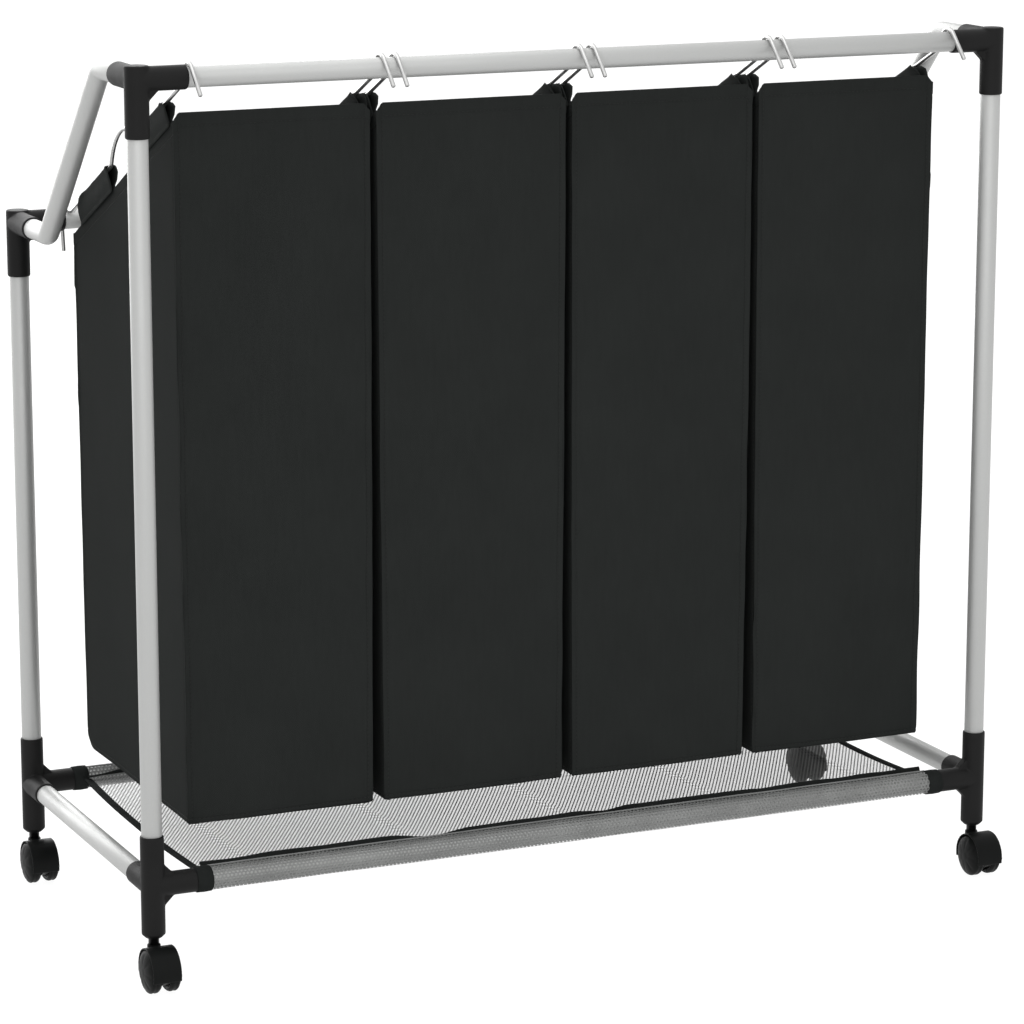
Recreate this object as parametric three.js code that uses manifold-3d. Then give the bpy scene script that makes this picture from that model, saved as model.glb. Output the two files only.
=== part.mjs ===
// Laundry sorter on casters: a tube frame with one tall and one low side, four hanging fabric bags
// on wire hangers, and a mesh tray between the two long base rails.
// Millimetres, +Z up, +X along the long side, the tall side towards -Y, the floor at z = 0.

import * as THREE from 'three';
import { mergeVertices } from 'three/addons/utils/BufferGeometryUtils.js';
import Module from 'manifold-3d';

const wasm = await Module();
wasm.setup();

// Frame: post axes, rail heights, tube and connector sizes.
const POST_X = 430;
const POST_Y = 180;
const TALL_Z = 827;
const LOW_Z = 655;
const BASE_Z = 96;
const TUBE_R = 9.5;
const TUBE_BORE_R = 8.5;
const SOCKET_R = 11;
const GAP = 0.3;
const SOCKET_BORE_R = TUBE_R + GAP;
const TUBE_END = 17;
const TOP_ARM_X = 45.5;
const TOP_ARM_Y = 50;
const TOP_DOWN = 52;
const TOP_CAP = 12;
const BASE_ARM_X = 41;
const BASE_ARM_Y = 44;
const BASE_UP = 47;
const BASE_DOWN = 49;
const BASE_NOSE_H = 3.5;
const BASE_NOSE_R = 6.5;
const GUSSET = 8.5;
const GUSSET_T = 9;
const GUSSET_TOE = 10;
const SIDE_KNEE_Y = 83;
const SIDE_BEND_R = 16;

// Casters: stem axis on the post axis, wheels trailing towards -Y.
const WHEEL_R = 20;
const TRAIL = 16;
const HOOD_R = 22;
const HOOD_INNER_R = 20.7;
const HOOD_HALF_W = 13.5;
const HOOD_FROM = THREE.MathUtils.degToRad(-15);
const HOOD_TO = THREE.MathUtils.degToRad(195);
const WEB_HALF_W = 3.4;
const WEB_R = 21.5;
const WEB_FOOT_HALF = 11;
const WEB_FLOOR_Z = 9;
const BOSS_R = 7.5;
const BOSS_FOOT_Z = 38.6;
const BOSS_FLOOR_Z = 40;
const BOSS_TOP_Z = 42;
const STEM_R = 5;
const STEM_TOP_Z = 82;
const STEM_HEADROOM = 1;
const SPIGOT_R = 2.3;
const SPIGOT_Z = 27;
const AXLE_R = 2;
const AXLE_HALF = 12.5;
const HUB_R = 4.5;
const HUB_INNER_X = 4;
const HUB_CUP_X = 11;
const HUB_OUTER_X = 13;
// Each row is a radius on the wheel and how far out along the axle it lies.
const WHEEL_PROFILE = [
  [0, HUB_OUTER_X], [AXLE_R + GAP, HUB_OUTER_X], [AXLE_R + GAP, HUB_INNER_X],
  [HUB_R, HUB_INNER_X], [HUB_R, HUB_CUP_X], [15.8, 10.6], [16.6, 4.6], [18.2, 3.8],
  [WHEEL_R, 6.4], [WHEEL_R, 12], [18.4, 14.2], [10, 16.6], [0, 17.2],
];

// Bags and their wire hangers. Slanted parts are laid out on the line that joins the two top rails:
// u runs down that line from its middle, v stands square to it.
const BAG_COUNT = 4;
const BAG_PITCH = 194.3;
const BAG_HALF_W_BOTTOM = 91;
const BAG_HALF_W_TOP = 93.5;
const BAG_HALF_D = 146;
const BAG_BOTTOM_Z = 138;
const BAG_FRONT_Z = 792;
const BAG_WALL = 2;
const BAG_CORNER = 7;
const SIDE_EDGE_V = -23;
const RIM_INSET = 0.2;
const TAB_INNER_U = 39;
const TAB_MOUTH_U = 48;
const TAB_OUTER_U = 142;
const TAB_CORNER = 9;
const TAB_ROOT_V = -31;
const TAB_STEP_V = -4;
const TAB_HALF_T = 1;
const TAB_OUTSET = 1.4;
const TUNNEL_R = 3.6;
const WIRE_R = 2;
const HANGER_HALF = 90.5;
const HOOK_R = TUBE_R + WIRE_R + 2 * GAP;
const HOOK_FOOT = 22;
const HOOK_END_ANGLE = THREE.MathUtils.degToRad(18.5);
const HOOK_TIP = 31;
const ARCH_R = 54.4;
const ARCH_RISE = 19.5;
const ARCH_FOOT_ANGLE = 0.08;
const ARCH_FOOT_RUN = 5;
const WIRE_KNEE = 4;

// Mesh tray: teardrop sleeves round the two long base rails, a sheet between their seams.
const TRAY_HALF_W = 382;
const TRAY_T = 1.3;
const TRAY_SAG = 5;
const SEAM_REACH = 24;
const SEAM_LIFT = 1;
const POCKET_REACH = 20;
const COLLAR_W = 15;
const COLLAR_T = 2.2;

// How far a cutter runs past the face it opens, and a joined piece into its neighbour.
const OVERRUN = 1;
const WELD = 1e-4;
const SIDES = 16;
const WHEEL_SIDES = 18;
const WIRE_SIDES = 6;
const STEM_SIDES = 12;
const TUNNEL_SIDES = 10;
const WIRE_BEND_STEPS = 2;
const TUBE_BEND_STEPS = 3;
const SLEEVE_STEPS = 8;
const HOOD_STEPS = 6;

// The origin is the middle of the outline on the floor, so the posts sit a little behind it.
const FRONT_REACH = POST_Y + TRAIL + HOOD_R;
const BACK_REACH = POST_Y + HOOK_R + WIRE_R;
const FRAME_SHIFT_Y = (FRONT_REACH - BACK_REACH) / 2;

const RAIL_MID_Z = (TALL_Z + LOW_Z) / 2;
const RAIL_SPAN = Math.hypot(2 * POST_Y, TALL_Z - LOW_Z);
const RAIL_TILT = Math.atan2(TALL_Z - LOW_Z, 2 * POST_Y);
const SLANT = new THREE.Matrix4().makeRotationX(-RAIL_TILT).setPosition(0, 0, RAIL_MID_Z);

const finish = (color, roughness, metalness) =>
  new THREE.MeshStandardMaterial({ color, roughness, metalness });
const silverTube = finish(0xbebfbd, 0.45, 0.6);
const brightWire = finish(0xd2d3d1, 0.3, 0.9);
const blackPlastic = finish(0x292929, 0.55, 0);
const casterPlastic = finish(0x1e201f, 0.45, 0);
const darkSteel = finish(0x232323, 0.4, 0.8);
const blackFabric = finish(0x282a29, 0.9, 0);
const greyNet = finish(0x4a4b4b, 0.8, 0);

// ---- solids ----

function solidOf(geometry) {
  const bare = geometry.clone();
  bare.deleteAttribute('normal');
  bare.deleteAttribute('uv');
  const merged = mergeVertices(bare, WELD);
  return new wasm.Manifold(new wasm.Mesh({
    numProp: 3,
    vertProperties: new Float32Array(merged.attributes.position.array),
    triVerts: new Uint32Array(merged.index.array),
  }));
}

function geometryOf(solid) {
  const { vertProperties, triVerts } = solid.getMesh();
  const geometry = new THREE.BufferGeometry();
  geometry.setAttribute('position', new THREE.BufferAttribute(vertProperties, 3));
  geometry.setIndex(new THREE.BufferAttribute(triVerts, 1));
  return geometry;
}

const joined = (solids) => solids.reduce((all, solid) => all.add(solid));
const cut = (solid, tools) => tools.reduce((rest, tool) => rest.subtract(tool), solid);

// A round bar from one point to another.
function bar(from, to, radius, sides = SIDES) {
  const axis = to.clone().sub(from);
  const geometry = new THREE.CylinderGeometry(radius, radius, axis.length(), sides);
  const turn = new THREE.Quaternion().setFromUnitVectors(
    new THREE.Vector3(0, 1, 0), axis.clone().normalize());
  geometry.applyQuaternion(turn);
  geometry.translate(...from.clone().add(to).multiplyScalar(0.5));
  return solidOf(geometry);
}

const point = (x, y, z) => new THREE.Vector3(x, y, z);

// An outline drawn in (y, z), pushed along X from -halfWidth to +halfWidth.
function slab(shape, halfWidth, curveSegments = HOOD_STEPS) {
  const geometry = new THREE.ExtrudeGeometry(shape, {
    depth: 2 * halfWidth, bevelEnabled: false, curveSegments,
  });
  geometry.applyMatrix4(new THREE.Matrix4().set(
    0, 0, 1, -halfWidth,
    1, 0, 0, 0,
    0, 1, 0, 0,
    0, 0, 0, 1));
  return solidOf(geometry);
}

function straightTube(from, to) {
  const along = to.clone().sub(from).setLength(OVERRUN);
  const bore = bar(from.clone().sub(along), to.clone().add(along), TUBE_BORE_R);
  return geometryOf(bar(from, to, TUBE_R).subtract(bore));
}

// A bent run through chosen stations in one plane, with mitred sections.
class BentRun extends THREE.Curve {
  constructor(stations) {
    super();
    this.stations = stations;
  }

  // Stations are spaced by the bends, not by the length.
  getUtoTmapping(u) {
    return u;
  }

  getPoint(t, target = new THREE.Vector3()) {
    return target.copy(this.stations[Math.round(t * (this.stations.length - 1))]);
  }

  getTangent(t, target = new THREE.Vector3()) {
    const last = this.stations.length - 1;
    const i = Math.round(t * last);
    const here = this.stations[i];
    const before = i > 0 ? here.clone().sub(this.stations[i - 1]).normalize() : point(0, 0, 0);
    const after = i < last ? this.stations[i + 1].clone().sub(here).normalize() : point(0, 0, 0);
    return target.copy(before.add(after)).normalize();
  }
}

function bentBar(stations, radius, sides) {
  const section = new THREE.Shape(
    Array.from({ length: sides }, (_, i) => {
      const angle = (i + 0.5) * 2 * Math.PI / sides;
      return new THREE.Vector2(radius * Math.cos(angle), radius * Math.sin(angle));
    }));
  return new THREE.ExtrudeGeometry(section, {
    steps: stations.length - 1, extrudePath: new BentRun(stations),
  });
}

// ---- frame ----

// A rounded corner between two straight runs of a path, starting and ending `reach` from it.
function roundCorner(path, corner, next, reach) {
  const start = corner.clone().sub(path.currentPoint).setLength(reach).negate().add(corner);
  const end = next.clone().sub(corner).setLength(reach).add(corner);
  path.lineTo(start.x, start.y);
  path.quadraticCurveTo(corner.x, corner.y, end.x, end.y);
}

function sideTube(x) {
  const reach = SIDE_BEND_R * Math.tan(Math.PI / 8);
  const tallEnd = new THREE.Vector2(-POST_Y + TUBE_END, TALL_Z);
  const tallKnee = new THREE.Vector2(-SIDE_KNEE_Y, TALL_Z);
  const lowKnee = new THREE.Vector2(SIDE_KNEE_Y, LOW_Z);
  const lowEnd = new THREE.Vector2(POST_Y - TUBE_END, LOW_Z);
  const path = new THREE.Path();
  path.moveTo(tallEnd.x, tallEnd.y);
  roundCorner(path, tallKnee, lowKnee, reach);
  roundCorner(path, lowKnee, lowEnd, reach);
  path.lineTo(lowEnd.x, lowEnd.y);
  const stations = path.getPoints(TUBE_BEND_STEPS).map((p) => point(x, p.x, p.y));
  const outer = solidOf(bentBar(stations, TUBE_R, SIDES));
  const push = point(0, OVERRUN, 0);
  stations[0].sub(push);
  stations[stations.length - 1].add(push);
  return geometryOf(outer.subtract(solidOf(bentBar(stations, TUBE_BORE_R, SIDES))));
}

// A web that fills the corner between the upright and the X arm, on the side given by `up`.
function gusset(inward, up) {
  const leg = SOCKET_R + GUSSET;
  const web = new THREE.Shape([
    new THREE.Vector2(0, 0), new THREE.Vector2(leg, 0), new THREE.Vector2(leg, GUSSET_TOE),
    new THREE.Vector2(GUSSET_TOE, leg), new THREE.Vector2(0, leg)]);
  const geometry = new THREE.ExtrudeGeometry(web, { depth: GUSSET_T, bevelEnabled: false });
  geometry.translate(0, 0, -GUSSET_T / 2);
  geometry.rotateX(Math.PI / 2);
  if (inward < 0) {
    geometry.rotateZ(Math.PI);
  }
  if (up < 0) {
    geometry.rotateX(Math.PI);
  }
  return solidOf(geometry);
}

// Three-way corner at the top of a post. `inX` and `inY` point along the arms.
function topConnector(inX, inY) {
  const centre = point(0, 0, 0);
  const body = joined([
    bar(point(0, 0, -TOP_DOWN), point(0, 0, TOP_CAP), SOCKET_R),
    bar(centre, point(inX * TOP_ARM_X, 0, 0), SOCKET_R),
    bar(centre, point(0, inY * TOP_ARM_Y, 0), SOCKET_R),
    gusset(inX, -1),
  ]);
  const floor = TUBE_END - GAP;
  return geometryOf(cut(body, [
    bar(point(0, 0, -TOP_DOWN - OVERRUN), point(0, 0, -floor), SOCKET_BORE_R),
    bar(point(inX * floor, 0, 0), point(inX * (TOP_ARM_X + OVERRUN), 0, 0), SOCKET_BORE_R),
    bar(point(0, inY * floor, 0), point(0, inY * (TOP_ARM_Y + OVERRUN), 0), SOCKET_BORE_R),
  ]));
}

// Four-way fitting at the foot of a post, with the caster socket below it.
function baseConnector(inX, inY) {
  const centre = point(0, 0, 0);
  const nose = new THREE.CylinderGeometry(SOCKET_R, BASE_NOSE_R, BASE_NOSE_H, SIDES);
  nose.rotateX(Math.PI / 2);
  nose.translate(0, 0, -BASE_DOWN + BASE_NOSE_H / 2);
  const body = joined([
    bar(point(0, 0, -BASE_DOWN + BASE_NOSE_H), point(0, 0, BASE_UP), SOCKET_R),
    solidOf(nose),
    bar(centre, point(inX * BASE_ARM_X, 0, 0), SOCKET_R),
    bar(centre, point(0, inY * BASE_ARM_Y, 0), SOCKET_R),
    gusset(inX, 1),
    gusset(inX, -1),
  ]);
  const floor = TUBE_END - GAP;
  const stemFloor = BASE_Z - STEM_TOP_Z - STEM_HEADROOM;
  return geometryOf(cut(body, [
    bar(point(0, 0, floor), point(0, 0, BASE_UP + OVERRUN), SOCKET_BORE_R),
    bar(point(inX * floor, 0, 0), point(inX * (BASE_ARM_X + OVERRUN), 0, 0), SOCKET_BORE_R),
    bar(point(0, inY * floor, 0), point(0, inY * (BASE_ARM_Y + OVERRUN), 0), SOCKET_BORE_R),
    bar(point(0, 0, -BASE_DOWN - OVERRUN), point(0, 0, -stemFloor), STEM_R + GAP, STEM_SIDES),
  ]));
}

// ---- casters (stem axis at x = y = 0, floor at z = 0) ----

function casterHood() {
  const fender = new THREE.Shape();
  fender.absarc(-TRAIL, WHEEL_R, HOOD_R, HOOD_FROM, HOOD_TO, false);
  fender.absarc(-TRAIL, WHEEL_R, HOOD_INNER_R, HOOD_TO, HOOD_FROM, true);
  const web = new THREE.Shape();
  web.absarc(-TRAIL, WHEEL_R, WEB_R, HOOD_FROM, HOOD_TO, false);
  web.lineTo(-TRAIL - WEB_FOOT_HALF, WEB_FLOOR_Z);
  web.lineTo(-TRAIL + WEB_FOOT_HALF, WEB_FLOOR_Z);
  const hood = joined([
    slab(fender, HOOD_HALF_W),
    slab(web, WEB_HALF_W),
    bar(point(0, 0, BOSS_FOOT_Z), point(0, 0, BOSS_TOP_Z), BOSS_R, STEM_SIDES),
  ]);
  return geometryOf(cut(hood, [
    bar(point(0, 0, BOSS_FLOOR_Z), point(0, 0, BOSS_TOP_Z + OVERRUN), STEM_R + GAP, STEM_SIDES),
    bar(point(0, 0, SPIGOT_Z - GAP), point(0, 0, BOSS_TOP_Z), SPIGOT_R + GAP, STEM_SIDES),
    bar(point(-WEB_HALF_W - OVERRUN, -TRAIL, WHEEL_R), point(WEB_HALF_W + OVERRUN, -TRAIL, WHEEL_R),
      AXLE_R + GAP, STEM_SIDES),
  ]));
}

function casterStem() {
  const shoulder = BOSS_FLOOR_Z + GAP;
  return geometryOf(joined([
    bar(point(0, 0, shoulder), point(0, 0, STEM_TOP_Z), STEM_R, STEM_SIDES),
    bar(point(0, 0, SPIGOT_Z), point(0, 0, shoulder + OVERRUN), SPIGOT_R, STEM_SIDES),
  ]));
}

function casterAxle() {
  return geometryOf(
    bar(point(-AXLE_HALF, -TRAIL, WHEEL_R), point(AXLE_HALF, -TRAIL, WHEEL_R), AXLE_R, STEM_SIDES));
}

// A cup-shaped wheel, domed outside and hollow towards the web. `side` is -1 or 1 along X.
function casterWheel(side) {
  const profile = WHEEL_PROFILE.map(([radius, out]) => new THREE.Vector2(radius, out));
  const geometry = new THREE.LatheGeometry(profile, WHEEL_SIDES);
  geometry.rotateZ(-side * Math.PI / 2);
  geometry.translate(0, -TRAIL, WHEEL_R);
  return geometryOf(solidOf(geometry));
}

// ---- bags and hangers (bag centre at x = 0) ----

function tapered(halfBottom, halfTop, halfDepth, bottom, top) {
  const geometry = new THREE.BoxGeometry(2, 2 * halfDepth, top - bottom);
  geometry.translate(0, 0, (top + bottom) / 2);
  const spot = geometry.attributes.position;
  for (let i = 0; i < spot.count; i += 1) {
    const half = spot.getZ(i) > (top + bottom) / 2 ? halfTop : halfBottom;
    spot.setX(i, Math.sign(spot.getX(i)) * half);
  }
  return solidOf(geometry);
}

// A flat outline in (u, v) on the slant, pushed along X.
function slantSlab(corners, halfWidth) {
  const shape = new THREE.Shape(corners.map(([u, v]) => new THREE.Vector2(u, v)));
  return slab(shape, halfWidth).transform(SLANT.elements);
}

function bag() {
  const outer = tapered(BAG_HALF_W_BOTTOM, BAG_HALF_W_TOP, BAG_HALF_D, BAG_BOTTOM_Z, BAG_FRONT_Z);
  const inner = tapered(BAG_HALF_W_BOTTOM - BAG_WALL, BAG_HALF_W_TOP - BAG_WALL,
    BAG_HALF_D - BAG_WALL, BAG_BOTTOM_Z + BAG_WALL, BAG_FRONT_Z + OVERRUN);
  const above = slantSlab([
    [-RAIL_SPAN / 2, SIDE_EDGE_V], [RAIL_SPAN / 2, SIDE_EDGE_V],
    [RAIL_SPAN / 2, RAIL_SPAN], [-RAIL_SPAN / 2, RAIL_SPAN]], 2 * BAG_HALF_W_TOP);
  const shell = cut(outer, [inner, above]);

  const rim = BAG_HALF_W_TOP - RIM_INSET;
  const frontTop = new THREE.Shape([
    new THREE.Vector2(-rim, BAG_FRONT_Z - 2 * BAG_CORNER),
    new THREE.Vector2(rim, BAG_FRONT_Z - 2 * BAG_CORNER),
    new THREE.Vector2(rim, BAG_FRONT_Z - BAG_CORNER),
    new THREE.Vector2(rim - BAG_CORNER, BAG_FRONT_Z),
    new THREE.Vector2(-rim + BAG_CORNER, BAG_FRONT_Z),
    new THREE.Vector2(-rim, BAG_FRONT_Z - BAG_CORNER)]);
  const frontStrip = new THREE.ExtrudeGeometry(frontTop, { depth: BAG_WALL, bevelEnabled: false });
  frontStrip.rotateX(Math.PI / 2);
  frontStrip.translate(0, -BAG_HALF_D + BAG_WALL, 0);

  const solids = [shell, solidOf(frontStrip)];
  const bores = [];
  for (const side of [-1, 1]) {
    const panelX = side * (HANGER_HALF + TAB_OUTSET);
    for (const end of [-1, 1]) {
      const tab = slantSlab([
        [end * TAB_INNER_U, TAB_ROOT_V], [end * TAB_INNER_U, TAB_STEP_V], [end * TAB_MOUTH_U, 0],
        [end * (TAB_OUTER_U - TAB_CORNER), 0], [end * TAB_OUTER_U, -TAB_CORNER],
        [end * TAB_OUTER_U, TAB_ROOT_V]], TAB_HALF_T);
      solids.push(tab.translate([panelX, 0, 0]));
      const tunnel = bar(point(0, end * TAB_MOUTH_U, 0),
        point(0, end * (TAB_OUTER_U - TAB_CORNER), 0), TUNNEL_R, TUNNEL_SIDES);
      solids.push(tunnel.transform(SLANT.elements).translate([side * HANGER_HALF, 0, 0]));
    }
    const bore = bar(point(0, -TAB_OUTER_U - OVERRUN, 0), point(0, TAB_OUTER_U + OVERRUN, 0),
      WIRE_R + GAP, TUNNEL_SIDES);
    bores.push(bore.transform(SLANT.elements).translate([side * HANGER_HALF, 0, 0]));
  }
  return geometryOf(cut(joined(solids), bores));
}

// Half of the hanger wire from the middle of its arch out to the tip of its hook, in (u, v).
function halfHanger() {
  const railU = RAIL_SPAN / 2;
  const archCentre = ARCH_RISE - ARCH_R;
  const archFoot = Math.sqrt(ARCH_R ** 2 - archCentre ** 2);
  const footAngle = Math.atan2(-archCentre, archFoot);
  const foot = new THREE.Vector2(railU - HOOK_FOOT, 0);
  const liftAngle = Math.PI - Math.acos(HOOK_R / HOOK_FOOT);
  const lift = new THREE.Vector2(
    railU + HOOK_R * Math.cos(liftAngle), HOOK_R * Math.sin(liftAngle));
  const path = new THREE.Path();
  path.moveTo(0, ARCH_RISE);
  path.absarc(0, archCentre, ARCH_R, Math.PI / 2, footAngle + ARCH_FOOT_ANGLE, true);
  path.quadraticCurveTo(archFoot, 0, archFoot + ARCH_FOOT_RUN, 0);
  roundCorner(path, foot, lift, WIRE_KNEE);
  path.lineTo(lift.x, lift.y);
  path.absarc(railU, 0, HOOK_R, liftAngle, HOOK_END_ANGLE, true);
  path.lineTo(railU + HOOK_R * Math.cos(HOOK_END_ANGLE) + HOOK_TIP * Math.sin(HOOK_END_ANGLE),
    HOOK_R * Math.sin(HOOK_END_ANGLE) - HOOK_TIP * Math.cos(HOOK_END_ANGLE));
  return path.getPoints(WIRE_BEND_STEPS);
}

function hanger() {
  const half = halfHanger();
  const stations = [
    ...half.slice(1).reverse().map((p) => point(0, -p.x, p.y)),
    ...half.map((p) => point(0, p.x, p.y)),
  ].map((station) => station.applyMatrix4(SLANT));
  return bentBar(stations, WIRE_R, WIRE_SIDES);
}

// ---- tray ----

// Teardrop round a base rail at (y, z) = (0, 0), its seam towards +y.
function teardrop(radius, seamHalf) {
  const reach = Math.acos(radius / SEAM_REACH);
  const drop = new THREE.Shape();
  drop.absarc(0, 0, radius, reach, 2 * Math.PI - reach, false);
  drop.lineTo(SEAM_REACH, SEAM_LIFT - seamHalf);
  drop.lineTo(SEAM_REACH, SEAM_LIFT + seamHalf);
  return drop;
}

function traySleeve(side) {
  const innerR = TUBE_R + GAP;
  const outer = slab(teardrop(innerR + TRAY_T, TRAY_T), TRAY_HALF_W, SLEEVE_STEPS);
  const innerDrop = new THREE.Shape();
  const reach = Math.acos(innerR / POCKET_REACH);
  innerDrop.absarc(0, 0, innerR, reach, 2 * Math.PI - reach, false);
  innerDrop.lineTo(POCKET_REACH, 0);
  const inner = slab(innerDrop, POST_X - BASE_ARM_X, SLEEVE_STEPS);
  const collars = [-1, 1].map((end) => {
    const outside = POST_X - BASE_ARM_X - GAP;
    return bar(point(end * (outside - COLLAR_W), 0, 0), point(end * outside, 0, 0),
      innerR + COLLAR_T);
  });
  const sleeve = joined([outer, ...collars]).subtract(inner);
  const turned = side < 0 ? sleeve : sleeve.rotate([0, 0, 180]);
  return turned.translate([0, side * POST_Y, BASE_Z]);
}

function tray() {
  const edge = POST_Y - SEAM_REACH + OVERRUN;
  const top = BASE_Z + SEAM_LIFT + TRAY_T / 2;
  const sheet = new THREE.Shape();
  sheet.moveTo(-edge, top - TRAY_T);
  sheet.quadraticCurveTo(0, top - TRAY_T - 2 * TRAY_SAG, edge, top - TRAY_T);
  sheet.lineTo(edge, top);
  sheet.quadraticCurveTo(0, top - 2 * TRAY_SAG, -edge, top);
  return geometryOf(joined([slab(sheet, TRAY_HALF_W, SLEEVE_STEPS), traySleeve(-1), traySleeve(1)]));
}

// ---- assembly ----

const sorter = new THREE.Group();
sorter.position.y = FRAME_SHIFT_Y;

function place(name, geometry, material, x = 0, y = 0, z = 0, parent = sorter) {
  const mesh = new THREE.Mesh(geometry, material);
  mesh.name = name;
  mesh.position.set(x, y, z);
  parent.add(mesh);
}

const ends = [['left', -1], ['right', 1]];
const flanks = [['tall', -1, TALL_Z], ['low', 1, LOW_Z]];

for (const [flank, sideY, topZ] of flanks) {
  const y = sideY * POST_Y;
  const railEnd = POST_X - TUBE_END;
  place(`top_rail_${flank}`, straightTube(point(-railEnd, y, topZ), point(railEnd, y, topZ)),
    silverTube);
  place(`base_rail_${flank}`, straightTube(point(-railEnd, y, BASE_Z), point(railEnd, y, BASE_Z)),
    silverTube);
  for (const [end, sideX] of ends) {
    const x = sideX * POST_X;
    place(`post_${flank}_${end}`,
      straightTube(point(x, y, BASE_Z + TUBE_END), point(x, y, topZ - TUBE_END)), silverTube);
    place(`top_connector_${flank}_${end}`, topConnector(-sideX, -sideY), blackPlastic, x, y, topZ);
    place(`base_connector_${flank}_${end}`, baseConnector(-sideX, -sideY), blackPlastic,
      x, y, BASE_Z);

    const caster = new THREE.Group();
    caster.position.set(x, y, 0);
    sorter.add(caster);
    const label = `caster_${flank}_${end}`;
    place(`${label}_hood`, casterHood(), casterPlastic, 0, 0, 0, caster);
    place(`${label}_stem`, casterStem(), darkSteel, 0, 0, 0, caster);
    place(`${label}_axle`, casterAxle(), darkSteel, 0, 0, 0, caster);
    place(`${label}_wheel_a`, casterWheel(-1), casterPlastic, 0, 0, 0, caster);
    place(`${label}_wheel_b`, casterWheel(1), casterPlastic, 0, 0, 0, caster);
  }
}

for (const [end, sideX] of ends) {
  const x = sideX * POST_X;
  const railEnd = POST_Y - TUBE_END;
  place(`side_tube_${end}`, sideTube(x), silverTube);
  place(`base_rail_${end}`, straightTube(point(x, -railEnd, BASE_Z), point(x, railEnd, BASE_Z)),
    silverTube);
}

place('mesh_tray', tray(), greyNet);

for (let i = 0; i < BAG_COUNT; i += 1) {
  const x = (i - (BAG_COUNT - 1) / 2) * BAG_PITCH;
  place(`bag_${i + 1}`, bag(), blackFabric, x);
  place(`hanger_${i + 1}_left`, hanger(), brightWire, x - HANGER_HALF);
  place(`hanger_${i + 1}_right`, hanger(), brightWire, x + HANGER_HALF);
}

export default sorter;
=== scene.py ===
"""Laundry sorter on casters: tube frame, corner fittings, twin-wheel casters, four hanging cloth
bags on wire hangers and a net tray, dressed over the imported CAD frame.

Metres, +Z up, tall side towards -Y."""

import math

import bpy
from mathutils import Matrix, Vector, noise


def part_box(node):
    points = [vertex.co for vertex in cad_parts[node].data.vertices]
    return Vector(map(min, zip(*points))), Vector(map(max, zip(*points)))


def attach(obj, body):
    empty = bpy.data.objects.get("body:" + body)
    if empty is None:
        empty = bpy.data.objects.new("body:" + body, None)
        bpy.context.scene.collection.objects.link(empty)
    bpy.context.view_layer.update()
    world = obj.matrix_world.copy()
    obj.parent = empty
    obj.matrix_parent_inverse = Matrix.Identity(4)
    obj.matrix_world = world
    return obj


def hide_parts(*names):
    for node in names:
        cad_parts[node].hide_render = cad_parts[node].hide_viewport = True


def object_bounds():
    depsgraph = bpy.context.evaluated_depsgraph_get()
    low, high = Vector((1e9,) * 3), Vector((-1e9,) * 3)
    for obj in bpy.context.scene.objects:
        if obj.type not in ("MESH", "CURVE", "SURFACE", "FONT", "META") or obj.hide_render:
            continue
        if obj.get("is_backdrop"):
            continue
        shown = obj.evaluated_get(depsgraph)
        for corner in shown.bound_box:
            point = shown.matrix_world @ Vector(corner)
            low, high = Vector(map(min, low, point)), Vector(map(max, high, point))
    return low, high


bl_info = {
    "name": "Laundry Sorter",
    "version": (1, 0, 0),
    "blender": (4, 5, 0),
    "location": "View3D > Sidebar > Sorter",
    "description": "Builds a rolling laundry sorter with bags and a net tray over its CAD frame",
    "category": "Add Mesh",
}

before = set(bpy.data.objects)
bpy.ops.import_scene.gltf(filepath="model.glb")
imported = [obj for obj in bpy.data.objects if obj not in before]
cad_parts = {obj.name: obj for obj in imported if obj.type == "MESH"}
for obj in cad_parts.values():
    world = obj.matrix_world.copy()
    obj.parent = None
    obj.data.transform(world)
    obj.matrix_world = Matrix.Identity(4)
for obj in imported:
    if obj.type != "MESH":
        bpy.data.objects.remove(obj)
CAD_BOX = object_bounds()

MM = 0.001
ENDS = {"left": -1, "right": 1}
FLANKS = {"tall": -1, "low": 1}
CORNERS = [(flank, end) for flank in FLANKS for end in ENDS]
BAGS = (1, 2, 3, 4)
TAU = 2 * math.pi
UP = Vector((0, 0, 1))


# ---- places read from the CAD frame ----


def middle(node):
    """The centre of a CAD node's box."""
    low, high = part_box(node)
    return (low + high) / 2


def extent(node):
    """The size of a CAD node's box."""
    low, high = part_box(node)
    return high - low


TUBE_R = extent("post_tall_left").x / 2
POST_X = middle("post_tall_right").x
SIDE_Y = {flank: middle(f"post_{flank}_right").y for flank in FLANKS}
RAIL_Z = {flank: middle(f"top_rail_{flank}").z for flank in FLANKS}
BASE_Z = middle("base_rail_tall").z
MID_Y = (SIDE_Y["tall"] + SIDE_Y["low"]) / 2

# The hangers and the tops of the bags follow the slant from the tall rail down to the low one:
# u runs down it from its middle, v stands square to it.
RAIL_DROP = RAIL_Z["tall"] - RAIL_Z["low"]
RAIL_GAP = SIDE_Y["low"] - SIDE_Y["tall"]
SLANT = math.atan2(RAIL_DROP, RAIL_GAP)
RAIL_U = math.hypot(RAIL_DROP, RAIL_GAP) / 2
MID_Z = (RAIL_Z["tall"] + RAIL_Z["low"]) / 2


def on_slant(x, u, v):
    """The point at u and v on the slant between the rails."""
    return Vector((
        x,
        MID_Y + u * math.cos(SLANT) + v * math.sin(SLANT),
        MID_Z - u * math.sin(SLANT) + v * math.cos(SLANT),
    ))


# ---- what a user may change ----


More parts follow.
